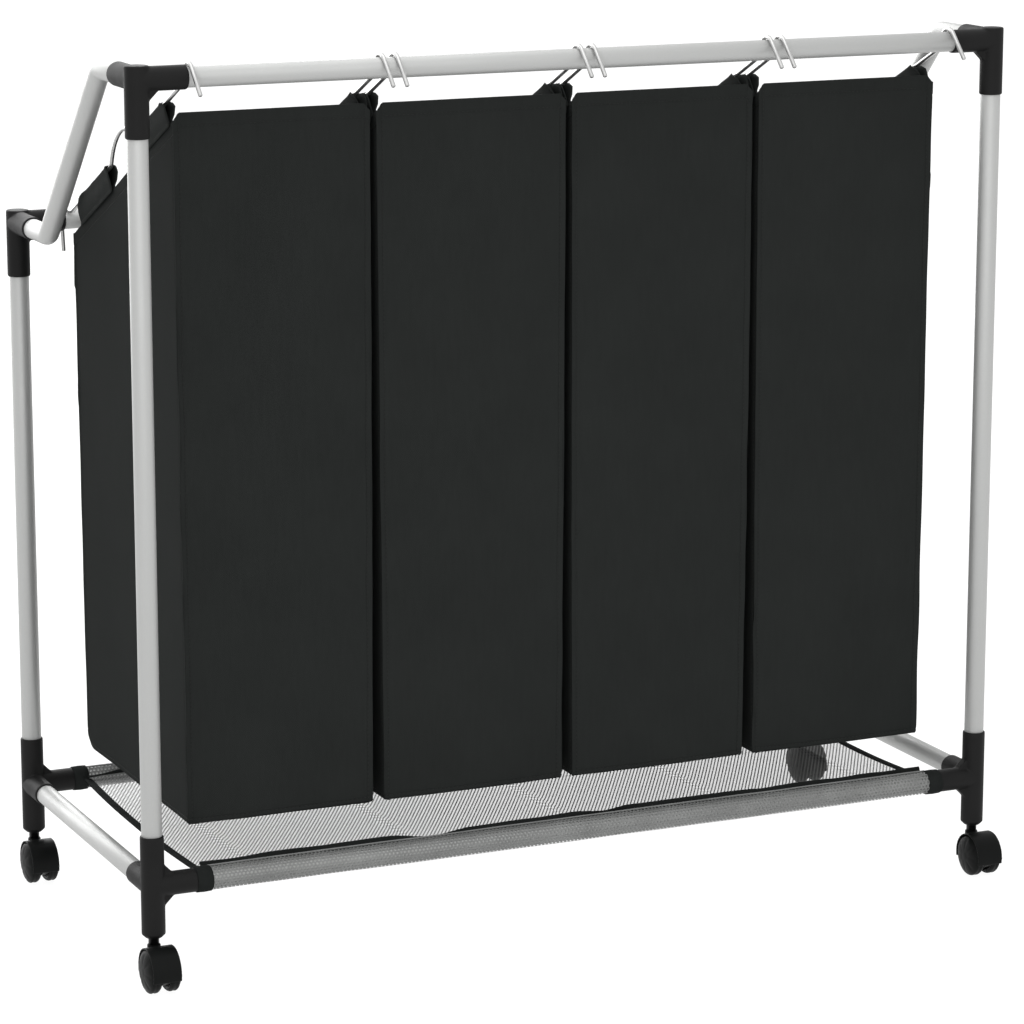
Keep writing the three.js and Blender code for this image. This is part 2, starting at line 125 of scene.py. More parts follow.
class SorterSizes(bpy.types.PropertyGroup):
    """Sizes of the detail that stands on the CAD frame."""

    bag_front_drop: bpy.props.FloatProperty(
        name="Bag drop", description="How far the bag's front edge hangs below the tall rail's axis",
        default=35 * MM, min=20 * MM, max=60 * MM, unit="LENGTH")
    bag_edge_v: bpy.props.FloatProperty(
        name="Side edge", description="How far the side panels' top edge hangs below the hanger wire",
        default=23 * MM, min=10 * MM, max=40 * MM, unit="LENGTH")
    bag_cloth: bpy.props.FloatProperty(
        name="Bag cloth", description="Thickness of the bag cloth",
        default=1.1 * MM, min=0.4 * MM, max=3 * MM, unit="LENGTH")
    bag_sag: bpy.props.FloatProperty(
        name="Bag sag", description="How far the bag's base hangs below its edges in the middle",
        default=5 * MM, min=0, max=15 * MM, unit="LENGTH")
    stitch: bpy.props.FloatProperty(
        name="Stitch", description="Distance from one stitch to the next",
        default=4.2 * MM, min=2 * MM, max=10 * MM, unit="LENGTH")
    net_pitch: bpy.props.FloatProperty(
        name="Net pitch", description="Distance between the tray net's threads",
        default=3.8 * MM, min=2 * MM, max=10 * MM, unit="LENGTH")
    tray_sag: bpy.props.FloatProperty(
        name="Tray sag", description="How far the tray net hangs down in the middle",
        default=5 * MM, min=0, max=20 * MM, unit="LENGTH")


def colour(name, description, default):
    """A colour that the sidebar shows."""
    return bpy.props.FloatVectorProperty(
        name=name, description=description, default=default, size=3, min=0, max=1, subtype="COLOR")


class SorterColours(bpy.types.PropertyGroup):
    """Colours of the sorter's finishes."""

    tube: colour("Tube", "Silver paint of the frame tubes", (0.41, 0.414, 0.408))
    wire: colour("Wire", "Plated steel of the hangers", (0.50, 0.50, 0.495))
    fitting: colour("Fitting", "Moulded plastic of the corner fittings", (0.0075, 0.0075, 0.0075))
    caster: colour("Caster", "Moulded plastic of the casters", (0.0034, 0.0039, 0.0037))
    steel: colour("Stem", "Blackened steel of the stems and axles", (0.012, 0.012, 0.012))
    cloth: colour("Cloth", "Woven cloth of the bags", (0.0195, 0.0212, 0.0204))
    thread: colour("Stitches", "Sewing thread of the bags", (0.006, 0.0065, 0.006))
    net: colour("Net", "Threads of the tray net", (0.162, 0.165, 0.162))
    binding: colour("Binding", "Edge binding of the tray", (0.015, 0.0165, 0.016))
    floor: colour("Floor", "Studio floor", (0.12, 0.12, 0.12))


# ---- meshes ----


class Shape:
    """Corners and faces gathered from several closed or open surfaces into one mesh."""

    def __init__(self):
        self.corners = []
        self.faces = []

    def add(self, corners, faces):
        """Adds a surface; its faces count their corners from 0."""
        start = len(self.corners)
        self.corners.extend(corners)
        self.faces.extend([start + i for i in face] for face in faces)
        return self

    def piece(self, name, finish, smooth=True):
        """Makes the gathered surfaces into one object."""
        mesh = bpy.data.meshes.new(name)
        mesh.from_pydata([tuple(c) for c in self.corners], [], self.faces)
        mesh.validate()
        mesh.polygons.foreach_set("use_smooth", [smooth] * len(mesh.polygons))
        mesh.materials.append(finish)
        piece = bpy.data.objects.new(name, mesh)
        bpy.context.scene.collection.objects.link(piece)
        return piece


def grid(rows, columns, wrap_rows=False, wrap_columns=False):
    """Faces of a grid of corners, laid out row by row."""
    faces = []
    for i in range(rows if wrap_rows else rows - 1):
        for j in range(columns if wrap_columns else columns - 1):
            i2 = (i + 1) % rows
            j2 = (j + 1) % columns
            faces.append((i * columns + j, i * columns + j2, i2 * columns + j2, i2 * columns + j))
    return faces


def frames_along(path):
    """Two axes square to the path at each of its points, turned as little as possible."""
    ahead = [(path[min(i + 1, len(path) - 1)] - path[max(i - 1, 0)]).normalized()
             for i in range(len(path))]
    start = Vector((0, 0, 1)) if abs(ahead[0].z) < 0.9 else Vector((1, 0, 0))
    side = ahead[0].cross(start).normalized()
    axes = []
    for direction in ahead:
        side = (side - direction * side.dot(direction)).normalized()
        axes.append((side, direction.cross(side)))
    return axes


def rings(path, radii, sides, phase=0.5):
    """A ring of corners round each point of the path."""
    corners = []
    for (side, up), centre, radius in zip(frames_along(path), path, radii):
        for k in range(sides):
            angle = (k + phase) * TAU / sides
            spoke = side * (radius * math.cos(angle)) + up * (radius * math.sin(angle))
            corners.append(centre + spoke)
    return corners


def capped(rows, sides):
    """Faces of rings of corners laid row by row, closed at both ends."""
    last = (rows - 1) * sides
    return [*grid(rows, sides, wrap_columns=True), tuple(reversed(range(sides))),
            tuple(range(last, last + sides))]


def rod(shape, path, radii, sides):
    """A solid rod along the path, closed at both ends."""
    if not hasattr(radii, "__len__"):
        radii = [radii] * len(path)
    return shape.add(rings(path, radii, sides), capped(len(path), sides))


def round_shell(path, outer, inner, sides):
    """A round wall with an outer and an inner radius at each point of the path."""
    rows = len(path)
    skin, bore = rings(path, outer, sides), rings(path, inner, sides)
    back = [bore[i * sides + k] for i in reversed(range(rows)) for k in range(sides)]
    return Shape().add(skin + back, grid(2 * rows, sides, wrap_rows=True, wrap_columns=True))


def arc_path(corner, before, after, reach, steps):
    """Points of a smooth bend at a corner between two straight runs."""
    start = corner + (before - corner).normalized() * reach
    end = corner + (after - corner).normalized() * reach
    points = []
    for i in range(steps + 1):
        t = i / steps
        points.append(start * (1 - t) ** 2 + corner * (2 * t * (1 - t)) + end * t ** 2)
    return points


def turned(profile, sides, origin, axis, across):
    """Corners of a profile of (distance along the axis, radius) turned round the axis."""
    third = axis.cross(across)
    corners = []
    for along, radius in profile:
        for k in range(sides):
            angle = k * TAU / sides
            spoke = across * math.cos(angle) + third * math.sin(angle)
            corners.append(origin + axis * along + spoke * radius)
    return corners


def prism(shape, outline, start, end):
    """An outline of points pushed from start to end."""
    count = len(outline)
    faces = [tuple(reversed(range(count))), tuple(count + k for k in range(count))]
    faces += [(k, (k + 1) % count, count + (k + 1) % count, count + k) for k in range(count)]
    return shape.add([p + start for p in outline] + [p + end for p in outline], faces)


def moulded(piece, voxel):
    """Fuses a piece's overlapping solids into one moulded skin with soft edges."""
    remesh = piece.modifiers.new("skin", "REMESH")
    remesh.mode = "VOXEL"
    remesh.voxel_size = voxel
    remesh.use_smooth_shade = True
    soften = piece.modifiers.new("soft edges", "SMOOTH")
    soften.factor = 0.5
    soften.iterations = 3
    return settled(piece)


def settled(piece):
    """Turns a piece's modifiers into plain mesh."""
    graph = bpy.context.evaluated_depsgraph_get()
    mesh = bpy.data.meshes.new_from_object(piece.evaluated_get(graph))
    piece.modifiers.clear()
    piece.data = mesh
    mesh.polygons.foreach_set("use_smooth", [True] * len(mesh.polygons))
    return piece


def thick(piece, thickness):
    """Gives a sheet of cloth its thickness, inward from its outer face."""
    wall = piece.modifiers.new("cloth", "SOLIDIFY")
    wall.thickness = thickness
    wall.offset = -1
    wall.use_even_offset = False
    return settled(piece)


# ---- finishes ----


NOISE_SPAN = (0.3, 0.7)


class Finish:
    """A procedural material built up node by node."""

    def __init__(self, name, base, metallic=0.0, specular=0.5):
        self.material = bpy.data.materials.new(name)
        self.material.use_nodes = True
        self.tree = self.material.node_tree
        self.shader = self.tree.nodes["Principled BSDF"]
        self.shader.inputs["Metallic"].default_value = metallic
        self.shader.inputs["Specular IOR Level"].default_value = specular
        self.base = base
        self.place = self.node("ShaderNodeTexCoord").outputs["Object"]

    def node(self, kind, **settings):
        """Adds a node with its settings."""
        made = self.tree.nodes.new(kind)
        for key, value in settings.items():
            setattr(made, key, value)
        return made

    def link(self, source, target):
        """Joins an output to an input."""
        self.tree.links.new(source, target)

    def noise(self, scale, detail=3.0, stretch=None):
        """Fractal noise, optionally stretched along an axis."""
        made = self.node("ShaderNodeTexNoise")
        made.inputs["Scale"].default_value = scale
        made.inputs["Detail"].default_value = detail
        place = self.place
        if stretch:
            mapping = self.node("ShaderNodeMapping")
            mapping.inputs["Scale"].default_value = stretch
            self.link(place, mapping.inputs["Vector"])
            place = mapping.outputs["Vector"]
        self.link(place, made.inputs["Vector"])
        return made.outputs["Fac"]

    def math(self, operation, *values):
        """Calculates with sockets and plain numbers."""
        made = self.node("ShaderNodeMath", operation=operation)
        for socket, value in zip(made.inputs, values):
            if isinstance(value, (int, float)):
                socket.default_value = value
            else:
                self.link(value, socket)
        return made.outputs["Value"]

    def shades(self, source, dark, light):
        """Colours the base from dark to light times its colour."""
        ramp = self.node("ShaderNodeValToRGB")
        for element, share, position in zip(ramp.color_ramp.elements, (dark, light), NOISE_SPAN):
            element.position = position
            element.color = (*[min(1.0, c * share) for c in self.base], 1)
        self.link(source, ramp.inputs["Fac"])
        self.link(ramp.outputs["Color"], self.shader.inputs["Base Color"])

    def roughness(self, source, low, high):
        """Runs the roughness from low to high."""
        made = self.node("ShaderNodeMapRange")
        for side, values in (("From", NOISE_SPAN), ("To", (low, high))):
            for edge, value in zip(("Min", "Max"), values):
                made.inputs[f"{side} {edge}"].default_value = value
        self.link(source, made.inputs["Value"])
        self.link(made.outputs["Result"], self.shader.inputs["Roughness"])

    def bumps(self, *layers):
        """Stacks height maps, each with its depth in metres."""
        normal = None
        for height, depth in layers:
            made = self.node("ShaderNodeBump")
            made.inputs["Strength"].default_value = 1
            made.inputs["Distance"].default_value = depth
            self.link(height, made.inputs["Height"])
            if normal is not None:
                self.link(normal, made.inputs["Normal"])
            normal = made.outputs["Normal"]
        self.link(normal, self.shader.inputs["Normal"])


def grained(name, base, shade, rough, *grain, metallic=0.0, specular=0.5):
    """A finish whose shade and roughness follow noises, over a bumpy grain.

    shade and rough are (noise, low, high) and each layer of the grain is (noise, depth in mm),
    with a noise given as its scale, its detail and, where it is drawn out, its stretch.
    """
    finish = Finish(name, base, metallic, specular)
    finish.shades(finish.noise(*shade[0]), *shade[1:])
    finish.roughness(finish.noise(*rough[0]), *rough[1:])
    finish.bumps(*[(finish.noise(*noise_kind), depth * MM) for noise_kind, depth in grain])
    return finish


def silver_paint(base):
    """Sprayed silver paint: fine flake, handling marks and a little orange peel."""
    return grained("silver_paint", base, ((2400, 2), 0.95, 1.05), ((28, 5), 0.42, 0.5),
                   ((420, 2), 0.02), ((2400, 2), 0.008), metallic=0.4)


def plated_wire(base):
    """Bright plated wire with drawing lines and dull patches."""
    return grained("plated_wire", base, ((60, 4), 0.88, 1.05), ((60, 4), 0.26, 0.4),
                   ((900, 3, (1, 0.08, 0.08)), 0.015), metallic=0.9)


def moulded_plastic(name, base, rough_low, rough_high, grain, specular):
    """Black moulded plastic with a spark-eroded grain and faint flow marks."""
    return grained(name, base, ((45, 4), 0.86, 1.14), ((45, 4), rough_low, rough_high),
                   ((grain, 3), 0.04), ((130, 2), 0.03), specular=specular)


def black_steel(base):
    """Blackened steel with turning lines."""
    return grained("blackened_steel", base, ((220, 4), 0.8, 1.5), ((220, 4), 0.3, 0.45),
                   ((1500, 2, (0.1, 0.1, 1)), 0.02), metallic=0.85)


def woven(name, base, pitch, depth):
    """Plain-woven cloth on upright panels: warp and weft rise in turn, with slubs and soft wear."""
    finish = Finish(name, base, specular=0.02)
    split = finish.node("ShaderNodeSeparateXYZ")
    finish.link(finish.place, split.inputs["Vector"])
    across = finish.math("ADD", split.outputs["X"], split.outputs["Y"])
    turns = TAU / pitch
    weft = finish.math("SINE", finish.math("MULTIPLY", across, turns))
    warp = finish.math("SINE", finish.math("MULTIPLY", split.outputs["Z"], turns))
    weave = finish.math("MULTIPLY", weft, warp)
    slubs = finish.noise(260, 3, stretch=(1, 1, 0.15))
    wear = finish.noise(14, 5)
    parts = finish.math("MULTIPLY", slubs, 0.4), finish.math("MULTIPLY", wear, 0.6)
    finish.shades(finish.math("ADD", *parts), 0.9, 1.1)
    finish.roughness(wear, 0.78, 0.95)
    finish.bumps((wear, 0.6 * MM), (slubs, 0.05 * MM), (weave, depth))
    return finish


def net_thread(base):
    """Slightly glossy filament thread of the net, twisted along its length."""
    return grained("net_thread", base, ((35, 4), 0.85, 1.15), ((35, 4), 0.45, 0.62),
                   ((1400, 2), 0.05), specular=0.35)


def sewing_thread(base):
    """Twisted sewing thread."""
    return grained("sewing_thread", base, ((2600, 2), 0.8, 1.3), ((2600, 2), 0.5, 0.7),
                   ((2600, 2), 0.03), specular=0.3)


def studio_white(base):
    """Matt white floor with a trace of mottling, lit from within so that it stays white."""
    finish = grained("studio_floor", base, ((2, 4), 0.995, 1.005), ((2, 4), 0.7, 0.8),
                     ((300, 2), 0.02), specular=0.1)
    finish.shader.inputs["Emission Color"].default_value = (1, 1, 1, 1)
    finish.shader.inputs["Emission Strength"].default_value = 0.95
    return finish


FINISH_MAKERS = {
    "tube": silver_paint,
    "wire": plated_wire,
    "fitting": lambda base: moulded_plastic("fitting_plastic", base, 0.5, 0.62, 900, 0.13),
    "caster": lambda base: moulded_plastic("caster_plastic", base, 0.4, 0.52, 1300, 0.09),
    "steel": black_steel,
    "cloth": lambda base: woven("bag_cloth", base, 0.8 * MM, 0.12 * MM),
    "binding": lambda base: woven("edge_binding", base, 1.1 * MM, 0.15 * MM),
    "net": net_thread,
    "thread": sewing_thread,
    "floor": studio_white,
}
FINISHES = {}


def finish_of(kind):
    """The named finish, made the first time that it is asked for."""
    if kind not in FINISHES:
        base = getattr(bpy.context.scene.sorter_colours, kind)
        FINISHES[kind] = FINISH_MAKERS[kind](base).material
    return FINISHES[kind]


def fitted(piece, body, slot, *nodes):
    """Rides a piece on its body in the place of CAD nodes; the slot of its finish is not used."""
    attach(piece, body)
    if nodes:
        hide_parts(*nodes)
    return piece


# ---- frame tubes ----

TUBE_WALL = 1 * MM
TUBE_LIP = TUBE_WALL / 3
TUBE_SIDES = 40
SIDE_KNEE = 83 * MM
SIDE_BEND_REACH = 6.5 * MM


def frame_tube(node, label, path):
    """A frame tube with a bore along the path, its two rims rounded."""
    first = (path[1] - path[0]).normalized() * TUBE_LIP
    final = (path[-1] - path[-2]).normalized() * TUBE_LIP
    walk = [path[0] + first, *path[1:-1], path[-1] - final]
    bore = TUBE_R - TUBE_WALL
    outer = [TUBE_R - TUBE_LIP, *[TUBE_R] * len(walk), TUBE_R - TUBE_LIP]
    inner = [bore + TUBE_LIP, *[bore] * len(walk), bore + TUBE_LIP]
    shell = round_shell([path[0], *walk, path[-1]], outer, inner, TUBE_SIDES)
    return fitted(shell.piece(f"{node}_{label}", finish_of("tube")), "frame", "tube", node)


def straight_tube(node):
    """A straight tube along the longest side of its CAD node."""
    low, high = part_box(node)
    size = high - low
    axis = max(range(3), key=lambda i: size[i])
    start, end = middle(node), middle(node)
    start[axis], end[axis] = low[axis], high[axis]
    return frame_tube(node, "tube", [start, end])


def side_tube(end):
    """The cranked tube that steps down from the tall corner to the low one."""
    node = f"side_tube_{end}"
    low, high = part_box(node)
    x = ENDS[end] * POST_X
    knees = [
        Vector((x, low.y, RAIL_Z["tall"])),
        Vector((x, MID_Y - SIDE_KNEE, RAIL_Z["tall"])),
        Vector((x, MID_Y + SIDE_KNEE, RAIL_Z["low"])),
        Vector((x, high.y, RAIL_Z["low"])),
    ]
    path = [knees[0]]
    for before, corner, after in zip(knees, knees[1:], knees[2:]):
        path += arc_path(corner, before, after, SIDE_BEND_REACH, 10)
    return frame_tube(node, "bent", [*path, knees[-1]])


# ---- corner fittings ----

SOCKET_R = 11 * MM
SOCKET_LIP = 0.8 * MM
ARM_SIDES = 64
GUSSET_REACH = 8.5 * MM
GUSSET_HALF = 4.5 * MM
FITTING_VOXEL = 0.8 * MM
STEM_HOLE_R = 7.4 * MM
NOSE = 3.5 * MM


def socket_arm(shape, start, end, nose=SOCKET_LIP, mouth=SOCKET_R - SOCKET_LIP):
    """A round socket with softened rims; its start narrows to the mouth over the nose."""
    ahead = (end - start).normalized()
    rod(shape, [start, start + ahead * nose, end - ahead * SOCKET_LIP, end],
        [mouth, SOCKET_R, SOCKET_R, SOCKET_R - SOCKET_LIP], ARM_SIDES)


def gusset(shape, corner, inward, up):
    """The web between the upright and the long arm."""
    leg = SOCKET_R + GUSSET_REACH
    inner = SOCKET_R - 1 * MM
    outline = [(0, 0), (leg, 0), (leg, inner), (inner, leg), (0, leg)]
    points = [corner + Vector((inward * a, 0, up * b)) for a, b in outline]
    if inward * up > 0:
        points.reverse()
    prism(shape, points, Vector((0, -GUSSET_HALF, 0)), Vector((0, GUSSET_HALF, 0)))


def corner_fitting(kind, flank, end, axis_z, webs, **foot):
    """A moulded corner: an upright, a socket along each of its two rails and its webs."""
    node = f"{kind}_connector_{flank}_{end}"
    low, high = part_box(node)
    inward, depthward = -ENDS[end], -FLANKS[flank]
    x, y = ENDS[end] * POST_X, SIDE_Y[flank]
    corner = Vector((x, y, axis_z))
    shape = Shape()
    socket_arm(shape, Vector((x, y, low.z)), Vector((x, y, high.z)), **foot)
    socket_arm(shape, corner, Vector((high.x if inward > 0 else low.x, y, axis_z)))
    socket_arm(shape, corner, Vector((x, high.y if depthward > 0 else low.y, axis_z)))
    for up in webs:
        gusset(shape, corner, inward, up)
    piece = moulded(shape.piece(f"{node}_moulding", finish_of("fitting")), FITTING_VOXEL)
    return fitted(piece, "frame", "fitting", node)


def top_fitting(flank, end):
    """Three-way corner at the top of a post."""
    return corner_fitting("top", flank, end, RAIL_Z[flank], (-1,))


def base_fitting(flank, end):
    """Four-way fitting at the foot of a post, with the caster socket below it."""
    return corner_fitting("base", flank, end, BASE_Z, (1, -1), nose=NOSE, mouth=STEM_HOLE_R)


# ---- casters ----

HOOD_R = 22 * MM
HOOD_WALL = 1.3 * MM
HOOD_HALF = 13.5 * MM
WEB_HALF = 3.4 * MM
WEB_FLOOR = 9 * MM
WEB_FOOT = 11 * MM
HOOD_DROP = math.radians(15)
BOSS_R = 6.2 * MM
BOSS_FOOT = 30 * MM
BOSS_TOP = 40.5 * MM
BOSS_BEVEL = 0.6 * MM
PIN_R = 2.3 * MM
PIN_TAPER = 0.9 * MM
PIN_SIDES = 48
COLLAR_Z = 40.3 * MM
COLLAR_LIP = 0.5 * MM
AXLE_BEVEL = 0.4 * MM
HOOD_STEPS = 40
CASTER_SIDES = 72
HOOD_VOXEL = 0.5 * MM
# A wheel's section as (distance from the caster's middle, radius) in mm: hub cap, domed face,
# grooved tread, hollow back and the bore of the axle.
WHEEL_SECTION = (
    (17.2, 0.4), (17.2, 3.0), (16.9, 4.2), (17.0, 6.0), (16.5, 10.0), (15.6, 14.0), (14.6, 16.6),
    (13.9, 17.6), (13.2, 18.9), (12.2, 19.7), (11.2, 20.0), (9.6, 19.6), (9.1, 19.6), (8.0, 20.0),
    (6.6, 20.0), (5.2, 19.4), (3.9, 18.2), (4.6, 16.6), (10.6, 15.8), (11.0, 4.6), (4.0, 4.4),
    (4.0, 2.4), (12.6, 2.4), (13.0, 0.4),
)
RIBS = 8
RIB_DEPTH = 0.35 * MM
RIBBED_ROWS = range(4, 7)


def caster_axis(flank, end):
    """The caster's stem axis on the floor, and its wheels' axle centre."""
    return Vector((ENDS[end] * POST_X, SIDE_Y[flank], 0)), middle(f"caster_{flank}_{end}_axle")


def caster_hood(flank, end):
    """The fender and the web between the wheels, moulded in one."""
    stem, axle = caster_axis(flank, end)
    turn = math.pi + 2 * HOOD_DROP
    sweep = [-HOOD_DROP + turn * i / HOOD_STEPS for i in range(HOOD_STEPS + 1)]

    def arc(radius):
        return [axle + Vector((0, radius * math.cos(a), radius * math.sin(a))) for a in sweep]

    shape = Shape()
    side = Vector((HOOD_HALF, 0, 0))
    outer, inner = arc(HOOD_R), arc(HOOD_R - HOOD_WALL)
    prism(shape, outer + inner[::-1], side, -side)
    web = Vector((WEB_HALF, 0, 0))
    outline = arc(HOOD_R - 0.5 * MM)
    outline += [Vector((axle.x, axle.y + foot, WEB_FLOOR)) for foot in (-WEB_FOOT, WEB_FOOT)]
    prism(shape, outline, web, -web)
    foot, top = stem + UP * BOSS_FOOT, stem + UP * BOSS_TOP
    rod(shape, [foot, top - UP * BOSS_BEVEL, top], [BOSS_R, BOSS_R, BOSS_R - BOSS_BEVEL],
        CASTER_SIDES)
    node = f"caster_{flank}_{end}_hood"
    piece = moulded(shape.piece(f"{node}_moulding", finish_of("caster")), HOOD_VOXEL)
    return fitted(piece, f"swivel_{flank}_{end}", "caster_plastic", node)


def caster_pins(flank, end):
    """The stem pin with its collar, and the axle pin."""
    stem, axle = caster_axis(flank, end)
    label = f"caster_{flank}_{end}"
    low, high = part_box(f"{label}_stem")
    radius = extent(f"{label}_stem").x / 2
    profile = [
        (low.z, PIN_R - PIN_TAPER), (low.z + 1 * MM, PIN_R), (COLLAR_Z, PIN_R),
        (COLLAR_Z, radius - COLLAR_LIP), (COLLAR_Z + COLLAR_LIP, radius),
        (high.z - 2 * MM, radius), (high.z, radius - 1.6 * MM),
    ]
    corners = turned(profile, PIN_SIDES, stem, UP, Vector((1, 0, 0)))
    stem_pin = Shape().add(corners, capped(len(profile), PIN_SIDES))
    low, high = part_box(f"{label}_axle")
    radius = (high.z - low.z) / 2
    start, stop = Vector((low.x, axle.y, axle.z)), Vector((high.x, axle.y, axle.z))
    slip = Vector((AXLE_BEVEL, 0, 0))
    axle_pin = rod(Shape(), [start, start + slip, stop - slip, stop],
                   [radius - AXLE_BEVEL, radius, radius, radius - AXLE_BEVEL], 32)
    for kind, shape in (("stem", stem_pin), ("axle", axle_pin)):
        piece = shape.piece(f"{label}_{kind}_pin", finish_of("steel"))
        fitted(piece, f"swivel_{flank}_{end}", "caster_steel", f"{label}_{kind}")


def caster_wheel(flank, end, which):
    """One cup-shaped wheel: domed face with a hub ring and shallow ribs, tread with a groove."""
    node = f"caster_{flank}_{end}_wheel_{which}"
    axle = caster_axis(flank, end)[1]
    side = -1 if which == "a" else 1
    axis = Vector((side, 0, 0))
    profile = [(x * MM, r * MM) for x, r in WHEEL_SECTION]
    corners = turned(profile, CASTER_SIDES, axle, axis, -UP)
    for row in RIBBED_ROWS:
        for k in range(CASTER_SIDES):
            wave = math.cos(RIBS * k * TAU / CASTER_SIDES)
            corners[row * CASTER_SIDES + k] -= axis * (RIB_DEPTH * max(0.0, wave) ** 2)
    faces = capped(len(profile), CASTER_SIDES)
    if side < 0:
        faces = [face[::-1] for face in faces]
    piece = Shape().add(corners, faces).piece(f"{node}_turned", finish_of("caster"))
    return fitted(piece, f"roll_{flank}_{end}_{which}", "caster_plastic", node)


# ---- hangers ----

WIRE_R = 2 * MM
WIRE_SIDES = 20
HOOK_R = TUBE_R + WIRE_R + 0.6 * MM
HOOK_FOOT = 22 * MM
HOOK_END_ANGLE = math.radians(18.5)
HOOK_TIP = 31 * MM
ARCH_R = 54.4 * MM
ARCH_RISE = 19.5 * MM
ARCH_EASE = 5 * MM
ARCH_TOE = 0.08
ARCH_STEPS = 16
HOOK_EASE = 4 * MM
HOOK_STEPS = 24
# How far the wire's last corners lie from its tip, and their share of its radius.
TIP_ROUNDING = ((0.8 * MM, 1), (0.25 * MM, 0.85), (0, 0.45))


def half_hanger():
    """The wire from the middle of its arch to the tip of its hook, in (u, v)."""
    centre = ARCH_RISE - ARCH_R
    arch_foot = math.sqrt(ARCH_R ** 2 - centre ** 2)
    foot_angle = math.atan2(-centre, arch_foot) + ARCH_TOE
    path = []
    for i in range(ARCH_STEPS + 1):
        angle = math.pi / 2 + (foot_angle - math.pi / 2) * i / ARCH_STEPS
        path.append(Vector((ARCH_R * math.cos(angle), centre + ARCH_R * math.sin(angle))))
    path += arc_path(Vector((arch_foot, 0)), path[-1], Vector((RAIL_U, 0)), ARCH_EASE, 5)[1:]
    foot = Vector((RAIL_U - HOOK_FOOT, 0))
    lift_angle = math.pi - math.acos(HOOK_R / HOOK_FOOT)
    hook = []
    for i in range(HOOK_STEPS + 1):
        angle = lift_angle + (HOOK_END_ANGLE - lift_angle) * i / HOOK_STEPS
        hook.append(Vector((RAIL_U + HOOK_R * math.cos(angle), HOOK_R * math.sin(angle))))
    path += arc_path(foot, path[-1], hook[0], HOOK_EASE, 6)
    path += hook
    down = Vector((math.sin(HOOK_END_ANGLE), -math.cos(HOOK_END_ANGLE)))
    tip = hook[-1] + down * HOOK_TIP
    return path + [tip - down * back for back, _ in TIP_ROUNDING]


def hanger(number, end):
    """One hanger wire, hooked over both top rails."""
    node = f"hanger_{number}_{end}"
    x = middle(node).x
    half = half_hanger()
    path = [on_slant(x, -p.x, p.y) for p in reversed(half[1:])]
    path += [on_slant(x, p.x, p.y) for p in half]
    radii = [WIRE_R] * len(path)
    for i, (_, share) in enumerate(reversed(TIP_ROUNDING)):
        radii[i] = radii[-1 - i] = WIRE_R * share
    shape = rod(Shape(), path, radii, WIRE_SIDES)
    return fitted(shape.piece(f"{node}_wire", finish_of("wire")), f"lift_{number}", "wire", node)


# ---- bags ----

EDGE_STATIONS = [s * MM for s in (0, 0.7, 1.5, 2.6, 3.5, 4.1, 4.7, 5.3, 6.4, 9, 14)]
TOP_STATIONS = [s * MM for s in (0, 1, 4, 8, 10.8, 11.6, 12.4, 13.2, 16, 20)]
COARSE_STEP = 8 * MM
WALL_ROWS = 62
SEAM_INSET = 4.4 * MM
HEM_DEPTH = 12 * MM
CORNER_CUT = 5 * MM
BACK_CURL = 13 * MM
BASE_PINCH = 0.88 * MM
FOOT_SAG = 0.8 * MM
FOOT_REACH = 60 * MM
BOTTOM_INSET = 2.5 * MM
CORNER_PINCH = 0.5 * MM
CORNER_REACH = 2.6 * MM
WANDER_REACH = 26 * MM
SEAM_DENT = 0.5 * MM
HEM_DENT = 0.4 * MM
HEM_FOLD = 0.3 * MM
# How far each panel stands out in its middle, and how much its cloth ripples.
BELLY = {"front": 1.5 * MM, "right": -2.6 * MM, "back": 1.2 * MM, "left": -2.6 * MM}
LOOSENESS = {"front": 1.0, "right": 2.3, "back": 3.4, "left": 2.3}
SLEEVE_STAND = 3 * MM


def stations(length, fine):
    """Places across a panel: close together at both edges, wider apart between."""
    rest = length - 2 * fine[-1]
    count = max(2, round(rest / COARSE_STEP))
    between = [fine[-1] + rest * i / count for i in range(1, count)]
    return [*fine, *between, *[length - s for s in reversed(fine)]]


def dent(distance, centre, width):
    """A smooth hollow one unit deep."""
    return math.exp(-((distance - centre) / width) ** 2)


